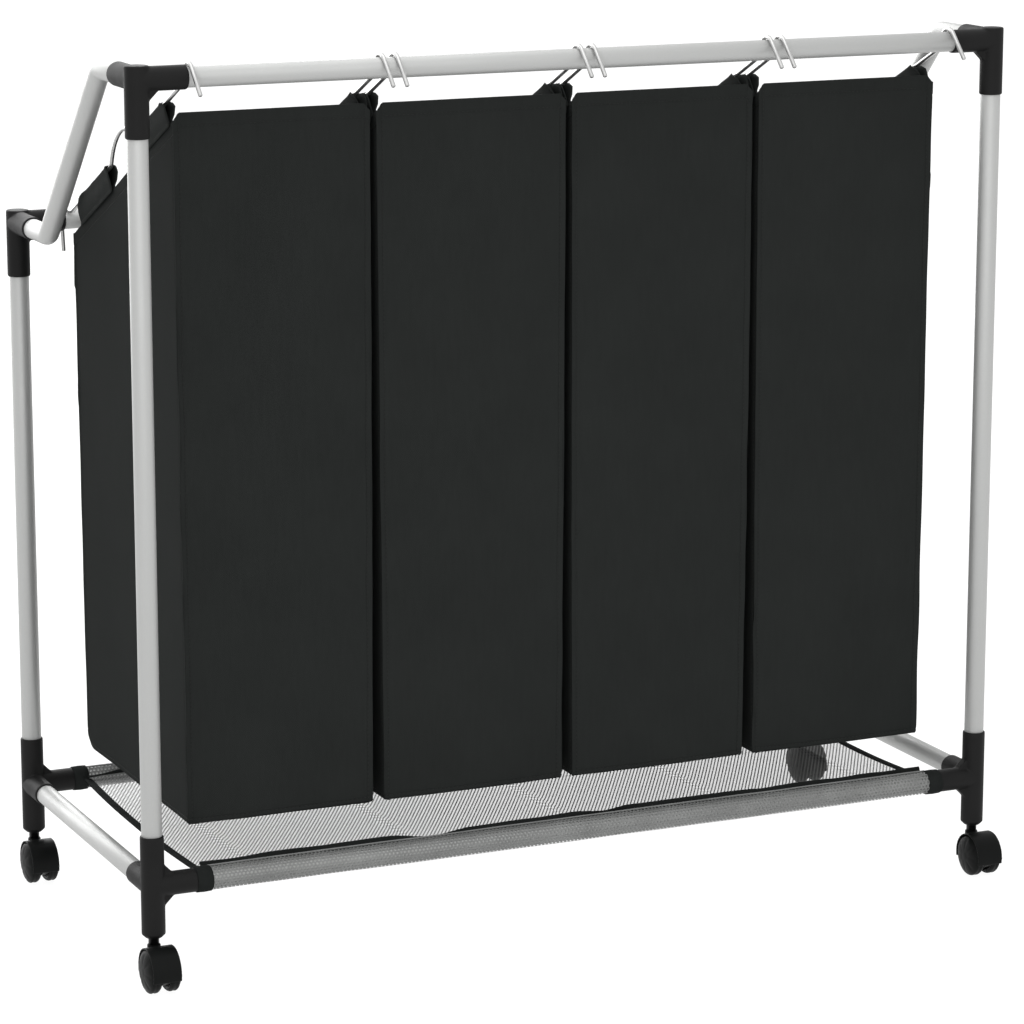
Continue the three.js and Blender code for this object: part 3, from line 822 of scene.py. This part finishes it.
class BagCut:
    """The sewn shape of one bag."""

    def __init__(self, number, sizes):
        low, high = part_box(f"bag_{number}")
        left = middle(f"hanger_{number}_left").x
        right = middle(f"hanger_{number}_right").x
        self.number = number
        self.sizes = sizes
        self.x = (left + right) / 2
        self.half_top = (right - left) / 2 + SLEEVE_STAND
        self.half_bottom = self.half_top - BOTTOM_INSET
        self.y_front, self.y_back = low.y, high.y
        self.bottom = low.z
        self.front_top = RAIL_Z["tall"] - sizes.bag_front_drop
        self.edge_v = -sizes.bag_edge_v
        self.seed = Vector((number * 3.7, number * 1.3, 0))

    def side_top(self, y):
        """Height of the side panels' slanted top edge."""
        return MID_Z - (y - MID_Y) * math.tan(SLANT) + self.edge_v / math.cos(SLANT)

    def foot_of(self, panel, across):
        """Height of the bag's foot: it curls up at the two back corners."""
        width = self.width_of(panel)
        to_side = min(across, width - across) if panel in ("front", "back") else 0
        to_back = {"front": width, "back": 0, "right": width - across, "left": across}[panel]
        return self.bottom + self.curl(to_side, to_back)

    def curl(self, to_side, to_back):
        """How far the foot rises near a back corner."""
        near = max(0.0, 1 - (to_side + to_back) / BACK_CURL)
        return BACK_CURL * (1 - math.sqrt(1 - near * near))

    def width_of(self, panel):
        """Width of a panel at the bag's rim."""
        return 2 * self.half_top if panel in ("front", "back") else self.y_back - self.y_front

    def top_of(self, panel, across):
        """Height of the bag's rim at a place on a panel, counted from the panel's start."""
        width = self.width_of(panel)
        inset = min(across, width - across)
        if panel == "front":
            corner = self.side_top(self.y_front)
            return corner + (self.front_top - corner) * min(1.0, inset / CORNER_CUT)
        if panel == "back":
            return self.side_top(self.y_back)
        y = self.y_front + across if panel == "right" else self.y_back - across
        return self.side_top(y)

    def point(self, panel, across, z):
        """Where the cloth lies on a panel at a height, and the way that it faces."""
        width = self.width_of(panel)
        top = self.top_of(panel, across)
        inset = min(across, width - across)
        share = across / width
        bottom = self.foot_of(panel, across)
        height = min(1.0, max(0.0, (z - bottom) / (top - bottom)))
        half = self.half_bottom + (self.half_top - self.half_bottom) * height
        rim, foot = top - z, z - bottom
        if panel in ("front", "back"):
            way = -1 if panel == "front" else 1
            y = self.y_front if way < 0 else self.y_back
            spot = Vector((-way * (2 * share - 1) * half, y, z))
            face = Vector((0, way, 0))
        else:
            way = 1 if panel == "right" else -1
            y = self.y_front + across if way > 0 else self.y_back - across
            spot = Vector((way * half, y, z))
            face = Vector((way, 0, 0))
        across_arch = math.sin(math.pi * share)
        push = BELLY[panel] * across_arch * math.sin(math.pi * height) * (1.4 - height)
        push += LOOSENESS[panel] * self.ripple(spot) * (0.35 + across_arch)
        push -= SEAM_DENT * dent(inset, SEAM_INSET, 0.75 * MM)
        push -= HEM_DENT * (dent(rim, HEM_DEPTH, 0.8 * MM) + dent(foot, SEAM_INSET, 0.8 * MM))
        push += HEM_FOLD if rim < HEM_DEPTH else 0
        spot += face * push
        outward = Vector((spot.x / half, (spot.y - MID_Y) / (self.y_back - MID_Y), 0))
        sideways = Vector((1, 0, 0)) if panel in ("front", "back") else Vector((0, 1, 0))
        wander = self.wander(spot, share > 0.5) * max(0.0, 1 - inset / WANDER_REACH) ** 2
        pinch = CORNER_PINCH * max(0.0, 1 - inset / CORNER_REACH)
        pinch -= BASE_PINCH * max(0.0, 1 - foot / (3 * MM)) ** 2
        spot += outward * pinch + sideways * wander
        fall = 0.5 + 0.5 * math.cos(math.pi * min(1.0, foot / FOOT_REACH))
        spot.z -= FOOT_SAG * fall * across_arch
        spot.x += self.x
        return spot, face

    def ripple(self, spot):
        """Soft upright folds in the hanging cloth."""
        place = Vector((spot.x * 9, spot.y * 9, spot.z * 2.6)) + self.seed
        return 1.1 * MM * noise.noise(place)

    def wander(self, spot, late):
        """How the sewn upright edges wave."""
        place = Vector((spot.z * 17, 5.0 if late else 0.0, spot.y * 0.1)) + self.seed
        return 1.5 * MM * noise.noise(place)


def bag_rows(cut, panel, across):
    """Heights of the cloth's corners up a panel, close together at the foot and the hem."""
    foot = cut.foot_of(panel, across)
    top = cut.top_of(panel, across)
    low = [foot + s for s in EDGE_STATIONS]
    high = [top - s for s in reversed(TOP_STATIONS)]
    rise = high[0] - low[-1]
    return low + [low[-1] + rise * i / WALL_ROWS for i in range(1, WALL_ROWS)] + high


def bag_wall(cut):
    """The wrap of cloth round the bag's four sides."""
    ring = []
    for panel in BELLY:
        ring += [(panel, across) for across in stations(cut.width_of(panel), EDGE_STATIONS)[:-1]]
    columns = [[cut.point(panel, across, z)[0] for z in bag_rows(cut, panel, across)]
               for panel, across in ring]
    rows = len(columns[0])
    corners = [column[i] for i in range(rows) for column in columns]
    shape = Shape().add(corners, grid(rows, len(ring), wrap_columns=True))
    return thick(shape.piece(f"bag_{cut.number}_wall", finish_of("cloth")), cut.sizes.bag_cloth)


def bag_base(cut):
    """The bag's base panel, sagging between its seams."""
    across = stations(cut.width_of("front"), EDGE_STATIONS)
    along = stations(cut.width_of("right"), EDGE_STATIONS)
    corners = []
    for y_step in along:
        share_y = y_step / along[-1]
        to_back = along[-1] - y_step
        row_left = cut.point("left", to_back, cut.foot_of("left", to_back))[0]
        row_right = cut.point("right", y_step, cut.foot_of("right", y_step))[0]
        for x_step in across:
            share_x = x_step / across[-1]
            spot = row_left.lerp(row_right, share_x)
            crown = (math.sin(math.pi * share_x) * math.sin(math.pi * share_y)) ** 0.5
            to_side = min(x_step, across[-1] - x_step)
            spot.z = cut.bottom + cut.curl(to_side, to_back) - cut.sizes.bag_sag * crown - 0.3 * MM
            if y_step in (0, along[-1]):
                panel = "front" if y_step == 0 else "back"
                place = x_step if y_step == 0 else across[-1] - x_step
                spot.y = cut.point(panel, place, cut.foot_of(panel, place))[0].y
            corners.append(spot)
    shape = Shape().add(corners, [face[::-1] for face in grid(len(along), len(across))])
    return thick(shape.piece(f"bag_{cut.number}_base", finish_of("cloth")), cut.sizes.bag_cloth)


TAB_INNER = 39 * MM
TAB_OUTER = 142 * MM
TAB_ROUND = 11 * MM
TAB_LAP = 25.5 * MM
MOUTH_SLIT = 9 * MM
TAB_CLOTH = 0.9 * MM
TAB_COLUMNS = 26
TAB_FACE = SLEEVE_STAND + 0.9 * MM
TAB_BACK = SLEEVE_STAND - 1.6 * MM
TAB_SEAM_V = -21.5 * MM
TAB_FLARE = 2.6 * MM
THREAD_R = 0.33 * MM


def tab_section(flare):
    """A sleeve's section from its outer hem over the wire to its inner hem, in (outward, v)."""
    points = [(TAB_FACE, -TAB_LAP), (TAB_FACE, -23.6 * MM), (TAB_FACE - 0.5 * MM, TAB_SEAM_V),
              (TAB_FACE, -19 * MM), (TAB_FACE + 0.3 * flare, -12 * MM),
              (2.9 * MM + 0.8 * flare, -5.5 * MM)]
    for i in range(9):
        angle = math.radians(-8 + 196 * i / 8)
        spread = 2.7 * MM + 0.9 * flare * abs(math.cos(angle))
        points.append((spread * math.cos(angle), 2.8 * MM * math.sin(angle)))
    points += [(-3 * MM - 0.5 * flare, -6 * MM), (-1.4 * MM - 0.2 * flare, -14 * MM),
               (TAB_BACK - 0.6 * MM, -19 * MM), (TAB_BACK, -22 * MM), (TAB_BACK, -TAB_LAP)]
    return points


def tab_reach(share, v):
    """How far a sleeve's two ends stand at a place round its section: (inner end, outer end)."""
    rise = max(0.0, min(1.0, (v + TAB_ROUND) / TAB_ROUND))
    outer = TAB_OUTER - TAB_ROUND * (1 - math.sqrt(max(0.0, 1 - rise * rise)))
    inner = TAB_INNER + 0.5 * TAB_ROUND * rise * rise
    crest = dent(share, 0.5, 0.09)
    return inner + MOUTH_SLIT * 0.7 * crest, outer - MOUTH_SLIT * crest


def bag_tab(cut, end, way):
    """One sleeve round a hanger wire, lapped over the side panel's top edge."""
    side = ENDS[end]
    wire_x = middle(f"hanger_{cut.number}_{end}").x
    columns = []
    for i in range(TAB_COLUMNS):
        t = i / (TAB_COLUMNS - 1)
        section = tab_section(TAB_FLARE * dent(min(t, 1 - t), 0, 0.075))
        column = []
        for k, (outward, v) in enumerate(section):
            start, stop = tab_reach(k / (len(section) - 1), v)
            u = start + (stop - start) * t
            crease = 0.35 * MM * noise.noise(Vector((u * 90, v * 60, cut.number * 2 + side + way)))
            column.append(on_slant(wire_x + side * (outward + crease), way * u, v))
        columns.append(column)
    rows = len(columns[0])
    corners = [column[k] for k in range(rows) for column in columns]
    faces = grid(rows, TAB_COLUMNS)
    if side * way > 0:
        faces = [face[::-1] for face in faces]
    name = f"bag_{cut.number}_sleeve_{end}_{'front' if way < 0 else 'back'}"
    return thick(Shape().add(corners, faces).piece(name, finish_of("cloth")), TAB_CLOTH)


def stitches(shape, run, pitch):
    """A row of stitches along a run of (point, face) pairs."""
    left_over = pitch / 2
    for (a, facing), (b, _) in zip(run, run[1:]):
        span = b - a
        if span.length < 1e-7:
            continue
        along = span.normalized()
        at = left_over
        while at < span.length:
            centre = a + along * at + facing * (0.18 * MM)
            reach = along * (pitch * 0.32)
            sink = facing * (0.35 * MM)
            rod(shape, [centre - reach - sink, centre - reach * 0.6, centre + reach * 0.6,
                        centre + reach - sink],
                [THREAD_R * 0.6, THREAD_R, THREAD_R, THREAD_R * 0.6], 5)
            at += pitch
        left_over = at - span.length


def bag_stitching(cut):
    """Top-stitching at the upright seams, the hem and the foot."""
    pitch = cut.sizes.stitch
    shape = Shape()
    steps = 60
    for panel in BELLY:
        width = cut.width_of(panel)
        for across in (SEAM_INSET, width - SEAM_INSET):
            low = cut.foot_of(panel, across) + 2 * MM
            high = cut.top_of(panel, across) - 2 * MM
            heights = [low + (high - low) * i / steps for i in range(steps + 1)]
            stitches(shape, [cut.point(panel, across, z) for z in heights], pitch)
        for level in ("hem", "foot"):
            run = []
            for i in range(steps + 1):
                across = 1 * MM + (width - 2 * MM) * i / steps
                hem = cut.top_of(panel, across) - HEM_DEPTH
                foot = cut.foot_of(panel, across) + SEAM_INSET
                run.append(cut.point(panel, across, hem if level == "hem" else foot))
            stitches(shape, run, pitch)
    for end, side in ENDS.items():
        x = middle(f"hanger_{cut.number}_{end}").x + side * TAB_FACE
        for way in (-1, 1):
            run = [(on_slant(x, way * u, TAB_SEAM_V), Vector((side, 0, 0)))
                   for u in (TAB_INNER + 3 * MM, TAB_OUTER - 3 * MM)]
            stitches(shape, run, pitch)
    return shape.piece(f"bag_{cut.number}_stitching", finish_of("thread"))


def bag(number, sizes):
    """One bag: wall, base, four sleeves and its stitching."""
    cut = BagCut(number, sizes)
    body = f"lift_{number}"
    stitching = fitted(bag_stitching(cut), body, "bag_fabric")
    wall = fitted(bag_wall(cut), body, "bag_fabric", f"bag_{number}")
    base = fitted(bag_base(cut), body, "bag_fabric")
    tall, short = cut.front_top - cut.bottom, cut.side_top(cut.y_back) - cut.bottom
    for end in ENDS:
        for way in (-1, 1):
            sleeve = fitted(bag_tab(cut, end, way), body, "bag_fabric")


# ---- net tray ----

NET_ROW = math.sqrt(3) / 2
# How much of a net cell's width is open.
NET_OPEN = 0.62
# Where the net was folded for storage, along the tray.
NET_CREASES = [x * MM for x in (-322, -158, 6, 168, 330)]
CREASE_RISE = 2.2 * MM
CREASE_WIDTH = 5 * MM
NET_INSET = 13 * MM
SLEEVE_R = TUBE_R + 0.9 * MM
SEAM_REACH = 24 * MM
BINDING_W = 8 * MM
TAPE_THICK = 1.8 * MM
TAPE_SIDES = 12
TAPE_LIFT = 4.6 * MM
COLLAR_LONG = 15 * MM
COLLAR_GAP = 40.4 * MM
COLLAR_R = TUBE_R + 2.3 * MM
COLLAR_RIM = 0.7 * MM
COLLAR_BORE = TUBE_R + 0.3 * MM
SIDE_BINDING_OUTER = 382 * MM
# Where the tape along a rail lies flat, and over what width; elsewhere it leans and waves.
LIMP_PLACES = ((-160 * MM, 62 * MM), (-SIDE_BINDING_OUTER, 30 * MM))
TAPE_LEAN = 60
TAPE_WAVE = 58
SELVEDGE_R = 0.8 * MM
NET_HALF_X = 376 * MM


def tray_height(x, y, sizes):
    """Height of the tray net: a shallow hollow between the rails."""
    half = RAIL_GAP / 2 - SEAM_REACH
    share = min(1.0, abs(y - MID_Y) / half)
    hollow = sizes.tray_sag * (1 - share * share)
    ripple = 0.7 * MM * noise.noise(Vector((x * 11, y * 9, 4.0)))
    crease = CREASE_RISE * max(dent(x, place, CREASE_WIDTH) for place in NET_CREASES)
    return BASE_Z + 1 * MM - hollow + ripple + crease * (1 - share ** 4)


def net_cells(shape, left, length, rows, pitch, place):
    """A knitted net of six-sided cells with open middles; place(x, s) lays it over its surface."""
    reach = pitch / math.sqrt(3)
    columns = round(length / pitch)
    found = {}

    def corner(x, s):
        key = (round(x / pitch * 12), round(s / pitch * 12))
        if key not in found:
            found[key] = len(corners)
            corners.append(place(x, s))
        return found[key]

    corners, faces = [], []
    for row in range(rows):
        for column in range(columns):
            x = left + (column + 0.5 + 0.5 * (row % 2)) * pitch
            s = row * NET_ROW * pitch
            spokes = [(reach * math.cos(a), reach * math.sin(a))
                      for a in (math.radians(30 + 60 * k) for k in range(6))]
            outer = [corner(x + dx, s + ds) for dx, ds in spokes]
            first = len(corners)
            corners.extend(place(x + NET_OPEN * dx, s + NET_OPEN * ds) for dx, ds in spokes)
            faces += [(outer[k], outer[(k + 1) % 6], first + (k + 1) % 6, first + k)
                      for k in range(6)]
    return shape.add(corners, faces)


def tray_net(flank, sizes):
    """Half of the tray's sheet, from one long rail to the middle."""
    pitch = sizes.net_pitch
    way = -FLANKS[flank]
    start = SIDE_Y[flank] + way * NET_INSET
    rows = round(abs(MID_Y - start) / (NET_ROW * pitch))
    rows += rows % 2
    squeeze = abs(MID_Y - start) / (rows * NET_ROW * pitch)

    def place(x, s):
        y = MID_Y - way * s * squeeze
        drift = Vector((x * 5, y * 6, 1.0))
        slip = 1.3 * MM * noise.noise(drift)
        return Vector((x + slip, y + way * 0.6 * slip, tray_height(x, y, sizes)))

    shape = net_cells(Shape(), -NET_HALF_X, 2 * NET_HALF_X, rows + 1, pitch, place)
    return shape.piece(f"mesh_tray_net_{flank}", finish_of("net"))


def net_sleeve(flank, sizes):
    """The net's sleeve round a base rail, drawn out to the seam behind it."""
    pitch = sizes.net_pitch
    centre = Vector((0, SIDE_Y[flank], BASE_Z))
    inward = -FLANKS[flank]
    rows = 2 * round(TAU * SLEEVE_R / (2 * NET_ROW * pitch))

    def place(x, s):
        angle = TAU * s / (rows * NET_ROW * pitch)
        loose = 0.45 * MM * (1 + noise.noise(Vector((x * 14, 3 * math.cos(angle), 2.0 * inward))))
        radius = SLEEVE_R + loose
        pull = max(0.0, math.cos(angle)) ** 6
        y = radius * math.cos(angle) + (NET_INSET - SLEEVE_R) * pull
        return centre + Vector((x, inward * y, radius * math.sin(angle) * (1 - pull)))

    shape = net_cells(Shape(), -NET_HALF_X, 2 * NET_HALF_X, rows, pitch, place)
    return shape.piece(f"mesh_tray_sleeve_{flank}", finish_of("net"))


def binding_strip(edge, path, tilts, thickness):
    """A folded binding tape along a path, with the way that it lies at each point."""
    corners = []
    for centre, across in zip(path, tilts):
        up = UP if abs(across.z) < 0.9 else Vector((0, 1, 0))
        up = (up - across * up.dot(across)).normalized()
        for k in range(TAPE_SIDES):
            angle = (k + 0.5) * TAU / TAPE_SIDES
            a = math.copysign(abs(math.cos(angle)) ** 0.5, math.cos(angle)) * BINDING_W / 2
            b = math.copysign(abs(math.sin(angle)) ** 0.7, math.sin(angle)) * thickness / 2
            corners.append(centre + across * a + up * b)
    shape = Shape().add(corners, capped(len(path), TAPE_SIDES))
    return shape.piece(f"mesh_tray_binding_{edge}", finish_of("binding"))


def long_binding(flank):
    """The tape along a long edge of the net, leaning on the rail's sleeve."""
    way = FLANKS[flank]
    root = SIDE_Y[flank] - way * (NET_INSET + 1 * MM)
    lean = BINDING_W / 2
    path, tilts = [], []
    for i in range(121):
        x = -SIDE_BINDING_OUTER + lean + (2 * SIDE_BINDING_OUTER - BINDING_W) * i / 120
        wave = noise.noise(Vector((x * 17, way * 3.0, 0.5))) + 0.4 * math.sin(60 * x)
        limp = max(dent(x, *place) for place in LIMP_PLACES)
        tilt = math.radians(TAPE_LEAN + TAPE_WAVE * wave - TAPE_LEAN * limp)
        tilts.append(Vector((0, -way * math.cos(tilt), math.sin(tilt))))
        path.append(Vector((x, root, BASE_Z + TAPE_LIFT)) + tilts[-1] * lean)
    return binding_strip(flank, path, tilts, TAPE_THICK)


def end_binding(end, sizes):
    """The tape along a short edge of the net."""
    x = ENDS[end] * (SIDE_BINDING_OUTER - BINDING_W / 2)
    path = []
    for i in range(41):
        y = SIDE_Y["tall"] + 15 * MM + (RAIL_GAP - 30 * MM) * i / 40
        path.append(Vector((x, y, tray_height(x, y, sizes) + 0.3 * MM)))
    return binding_strip(end, path, [Vector((1, 0, 0))] * len(path), 2 * MM)


def tray_selvedge(flank):
    """The doubled thread where a sleeve is stitched shut, lying along the top of its rail."""
    way = FLANKS[flank]
    path = []
    for i in range(91):
        x = -NET_HALF_X + 2 * NET_HALF_X * i / 90
        wave = 0.4 * MM * noise.noise(Vector((x * 21, way * 5.0, 1.5)))
        path.append(Vector((x, SIDE_Y[flank] - way * 3 * MM, BASE_Z + SLEEVE_R + 0.7 * MM + wave)))
    shape = rod(Shape(), path, SELVEDGE_R, 8)
    return shape.piece(f"mesh_tray_selvedge_{flank}", finish_of("net"))


def tray_collar(flank, end):
    """The black band that closes a sleeve beside its fitting."""
    outer = ENDS[end] * (POST_X - COLLAR_GAP)
    start, stop = sorted((outer, outer - ENDS[end] * COLLAR_LONG))
    path = [Vector((x, SIDE_Y[flank], BASE_Z)) for x in
            (start, start + COLLAR_RIM, (start + stop) / 2, stop - COLLAR_RIM, stop)]
    swell = [-COLLAR_RIM, 0, 0.3 * MM, 0, -COLLAR_RIM]
    shape = round_shell(path, [COLLAR_R + s for s in swell], [COLLAR_BORE] * len(path), 48)
    return shape.piece(f"mesh_tray_collar_{flank}_{end}", finish_of("binding"))


def tray_trims(sizes):
    """The tapes, selvedges and collars of the tray."""
    return [*[long_binding(flank) for flank in FLANKS], *[end_binding(end, sizes) for end in ENDS],
            *[tray_selvedge(flank) for flank in FLANKS],
            *[tray_collar(flank, end) for flank, end in CORNERS]]


# ---- studio ----

CAMERA_PLACE = (-1.5320, -3.4089, 1.1911)
CAMERA_YAW = math.radians(24.243)
CAMERA_PITCH = math.radians(12.387)
CAMERA_LENS = 138.1
CAMERA_SENSOR = 36
FLOOR_HALF = 30
FLOOR_DROP = 0.2 * MM
# Each light's place and aim, its size in metres and its power in watts.
LIGHTS = {
    "key_light": ((-1.3, -3.7, 2.6), (0, 0, 0.4), 4.4, 58),
    "top_light": ((-0.6, 0.3, 3.6), (0, 0, 0), 3.4, 50),
    "back_light": ((-0.6, 3.8, 2.1), (0, 0, 0.4), 4.0, 170),
}


def area_light(name, place, aim, size, power):
    """A soft square light turned towards a point."""
    data = bpy.data.lights.new(name, "AREA")
    data.shape = "SQUARE"
    data.size = size
    data.energy = power
    light = bpy.data.objects.new(name, data)
    light.location = place
    light.rotation_euler = (Vector(aim) - Vector(place)).to_track_quat("-Z", "Y").to_euler()
    bpy.context.scene.collection.objects.link(light)


def studio(scene):
    """Pale floor, soft lights, even surroundings and the camera."""
    corners = [Vector((x * FLOOR_HALF, y * FLOOR_HALF, -FLOOR_DROP))
               for x, y in ((-1, -1), (1, -1), (1, 1), (-1, 1))]
    shape = Shape().add(corners, [(0, 1, 2, 3)])
    shape.piece("studio_floor", finish_of("floor"), smooth=False)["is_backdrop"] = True
    world = bpy.data.worlds.new("soft_surroundings")
    world.use_nodes = True
    background = world.node_tree.nodes["Background"]
    background.inputs["Color"].default_value = (1, 1, 1, 1)
    background.inputs["Strength"].default_value = 1.0
    scene.world = world
    for name, light in LIGHTS.items():
        area_light(name, *light)
    data = bpy.data.cameras.new("studio_camera")
    data.lens = CAMERA_LENS
    data.sensor_width = CAMERA_SENSOR
    camera = bpy.data.objects.new("studio_camera", data)
    camera.location = CAMERA_PLACE
    camera.rotation_euler = (math.pi / 2 - CAMERA_PITCH, 0, -CAMERA_YAW)
    scene.collection.objects.link(camera)
    scene.camera = camera
    scene.view_settings.view_transform = "Standard"


# ---- operators ----


class SORTER_OT_studio(bpy.types.Operator):
    """Set up the floor, the lights and the camera"""

    bl_idname = "sorter.studio"
    bl_label = "Studio"

    def execute(self, context):
        studio(context.scene)
        return {"FINISHED"}


class SORTER_OT_tubes(bpy.types.Operator):
    """Make the posts, rails and cranked side tubes"""

    bl_idname = "sorter.tubes"
    bl_label = "Frame tubes"

    def execute(self, context):
        for flank in FLANKS:
            straight_tube(f"top_rail_{flank}")
            straight_tube(f"base_rail_{flank}")
            for end in ENDS:
                straight_tube(f"post_{flank}_{end}")
        for end in ENDS:
            straight_tube(f"base_rail_{end}")
            side_tube(end)
        return {"FINISHED"}


class SORTER_OT_fittings(bpy.types.Operator):
    """Make the moulded corner fittings"""

    bl_idname = "sorter.fittings"
    bl_label = "Corner fittings"

    def execute(self, context):
        for flank, end in CORNERS:
            top_fitting(flank, end)
            base_fitting(flank, end)
        return {"FINISHED"}


class SORTER_OT_casters(bpy.types.Operator):
    """Make the four twin-wheel casters"""

    bl_idname = "sorter.casters"
    bl_label = "Casters"

    def execute(self, context):
        for flank, end in CORNERS:
            caster_hood(flank, end)
            caster_pins(flank, end)
            for which in "ab":
                caster_wheel(flank, end, which)
        return {"FINISHED"}


class SORTER_OT_hangers(bpy.types.Operator):
    """Make the eight hanger wires"""

    bl_idname = "sorter.hangers"
    bl_label = "Hanger wires"

    def execute(self, context):
        for number in BAGS:
            for end in ENDS:
                hanger(number, end)
        return {"FINISHED"}


class SORTER_OT_bags(bpy.types.Operator):
    """Sew the four bags"""

    bl_idname = "sorter.bags"
    bl_label = "Bags"

    def execute(self, context):
        for number in BAGS:
            bag(number, context.scene.sorter_sizes)
        return {"FINISHED"}


class SORTER_OT_tray(bpy.types.Operator):
    """Make the net tray with its sleeves, bindings and collars"""

    bl_idname = "sorter.tray"
    bl_label = "Net tray"

    def execute(self, context):
        sizes = context.scene.sorter_sizes
        nets = [fitted(tray_net(flank, sizes), "frame", "net", "mesh_tray") for flank in FLANKS]
        sleeves = [fitted(net_sleeve(flank, sizes), "frame", "net") for flank in FLANKS]
        trims = [fitted(piece, "frame", "net") for piece in tray_trims(sizes)]
        return {"FINISHED"}


class SORTER_PT_panel(bpy.types.Panel):
    """The sorter's sizes, colours and build steps"""

    bl_idname = "SORTER_PT_panel"
    bl_label = "Laundry Sorter"
    bl_space_type = "VIEW_3D"
    bl_region_type = "UI"
    bl_category = "Sorter"

    def draw(self, context):
        for group in (context.scene.sorter_sizes, context.scene.sorter_colours):
            for name in group.__annotations__:
                self.layout.prop(group, name)
        for step in STEPS:
            self.layout.operator(step.bl_idname)


STEPS = (
    SORTER_OT_studio, SORTER_OT_tubes, SORTER_OT_fittings, SORTER_OT_casters, SORTER_OT_hangers,
    SORTER_OT_bags, SORTER_OT_tray,
)
CLASSES = (SorterSizes, SorterColours, *STEPS, SORTER_PT_panel)


def register():
    """Registers the classes and gives the scene its settings."""
    for one in CLASSES:
        bpy.utils.register_class(one)
    bpy.types.Scene.sorter_sizes = bpy.props.PointerProperty(type=SorterSizes)
    bpy.types.Scene.sorter_colours = bpy.props.PointerProperty(type=SorterColours)


def unregister():
    """Takes the settings and the classes away again."""
    del bpy.types.Scene.sorter_colours
    del bpy.types.Scene.sorter_sizes
    for one in reversed(CLASSES):
        bpy.utils.unregister_class(one)


def main():
    """Builds the sorter step by step."""
    register()
    bpy.ops.sorter.studio()
    bpy.ops.sorter.tubes()
    bpy.ops.sorter.fittings()
    bpy.ops.sorter.casters()
    bpy.ops.sorter.hangers()
    bpy.ops.sorter.bags()
    bpy.ops.sorter.tray()
    boxes = {"cad": CAD_BOX, "visual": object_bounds()}
    {name: [list(corner) for corner in box] for name, box in boxes.items()}


if __name__ == "__main__":
    main()
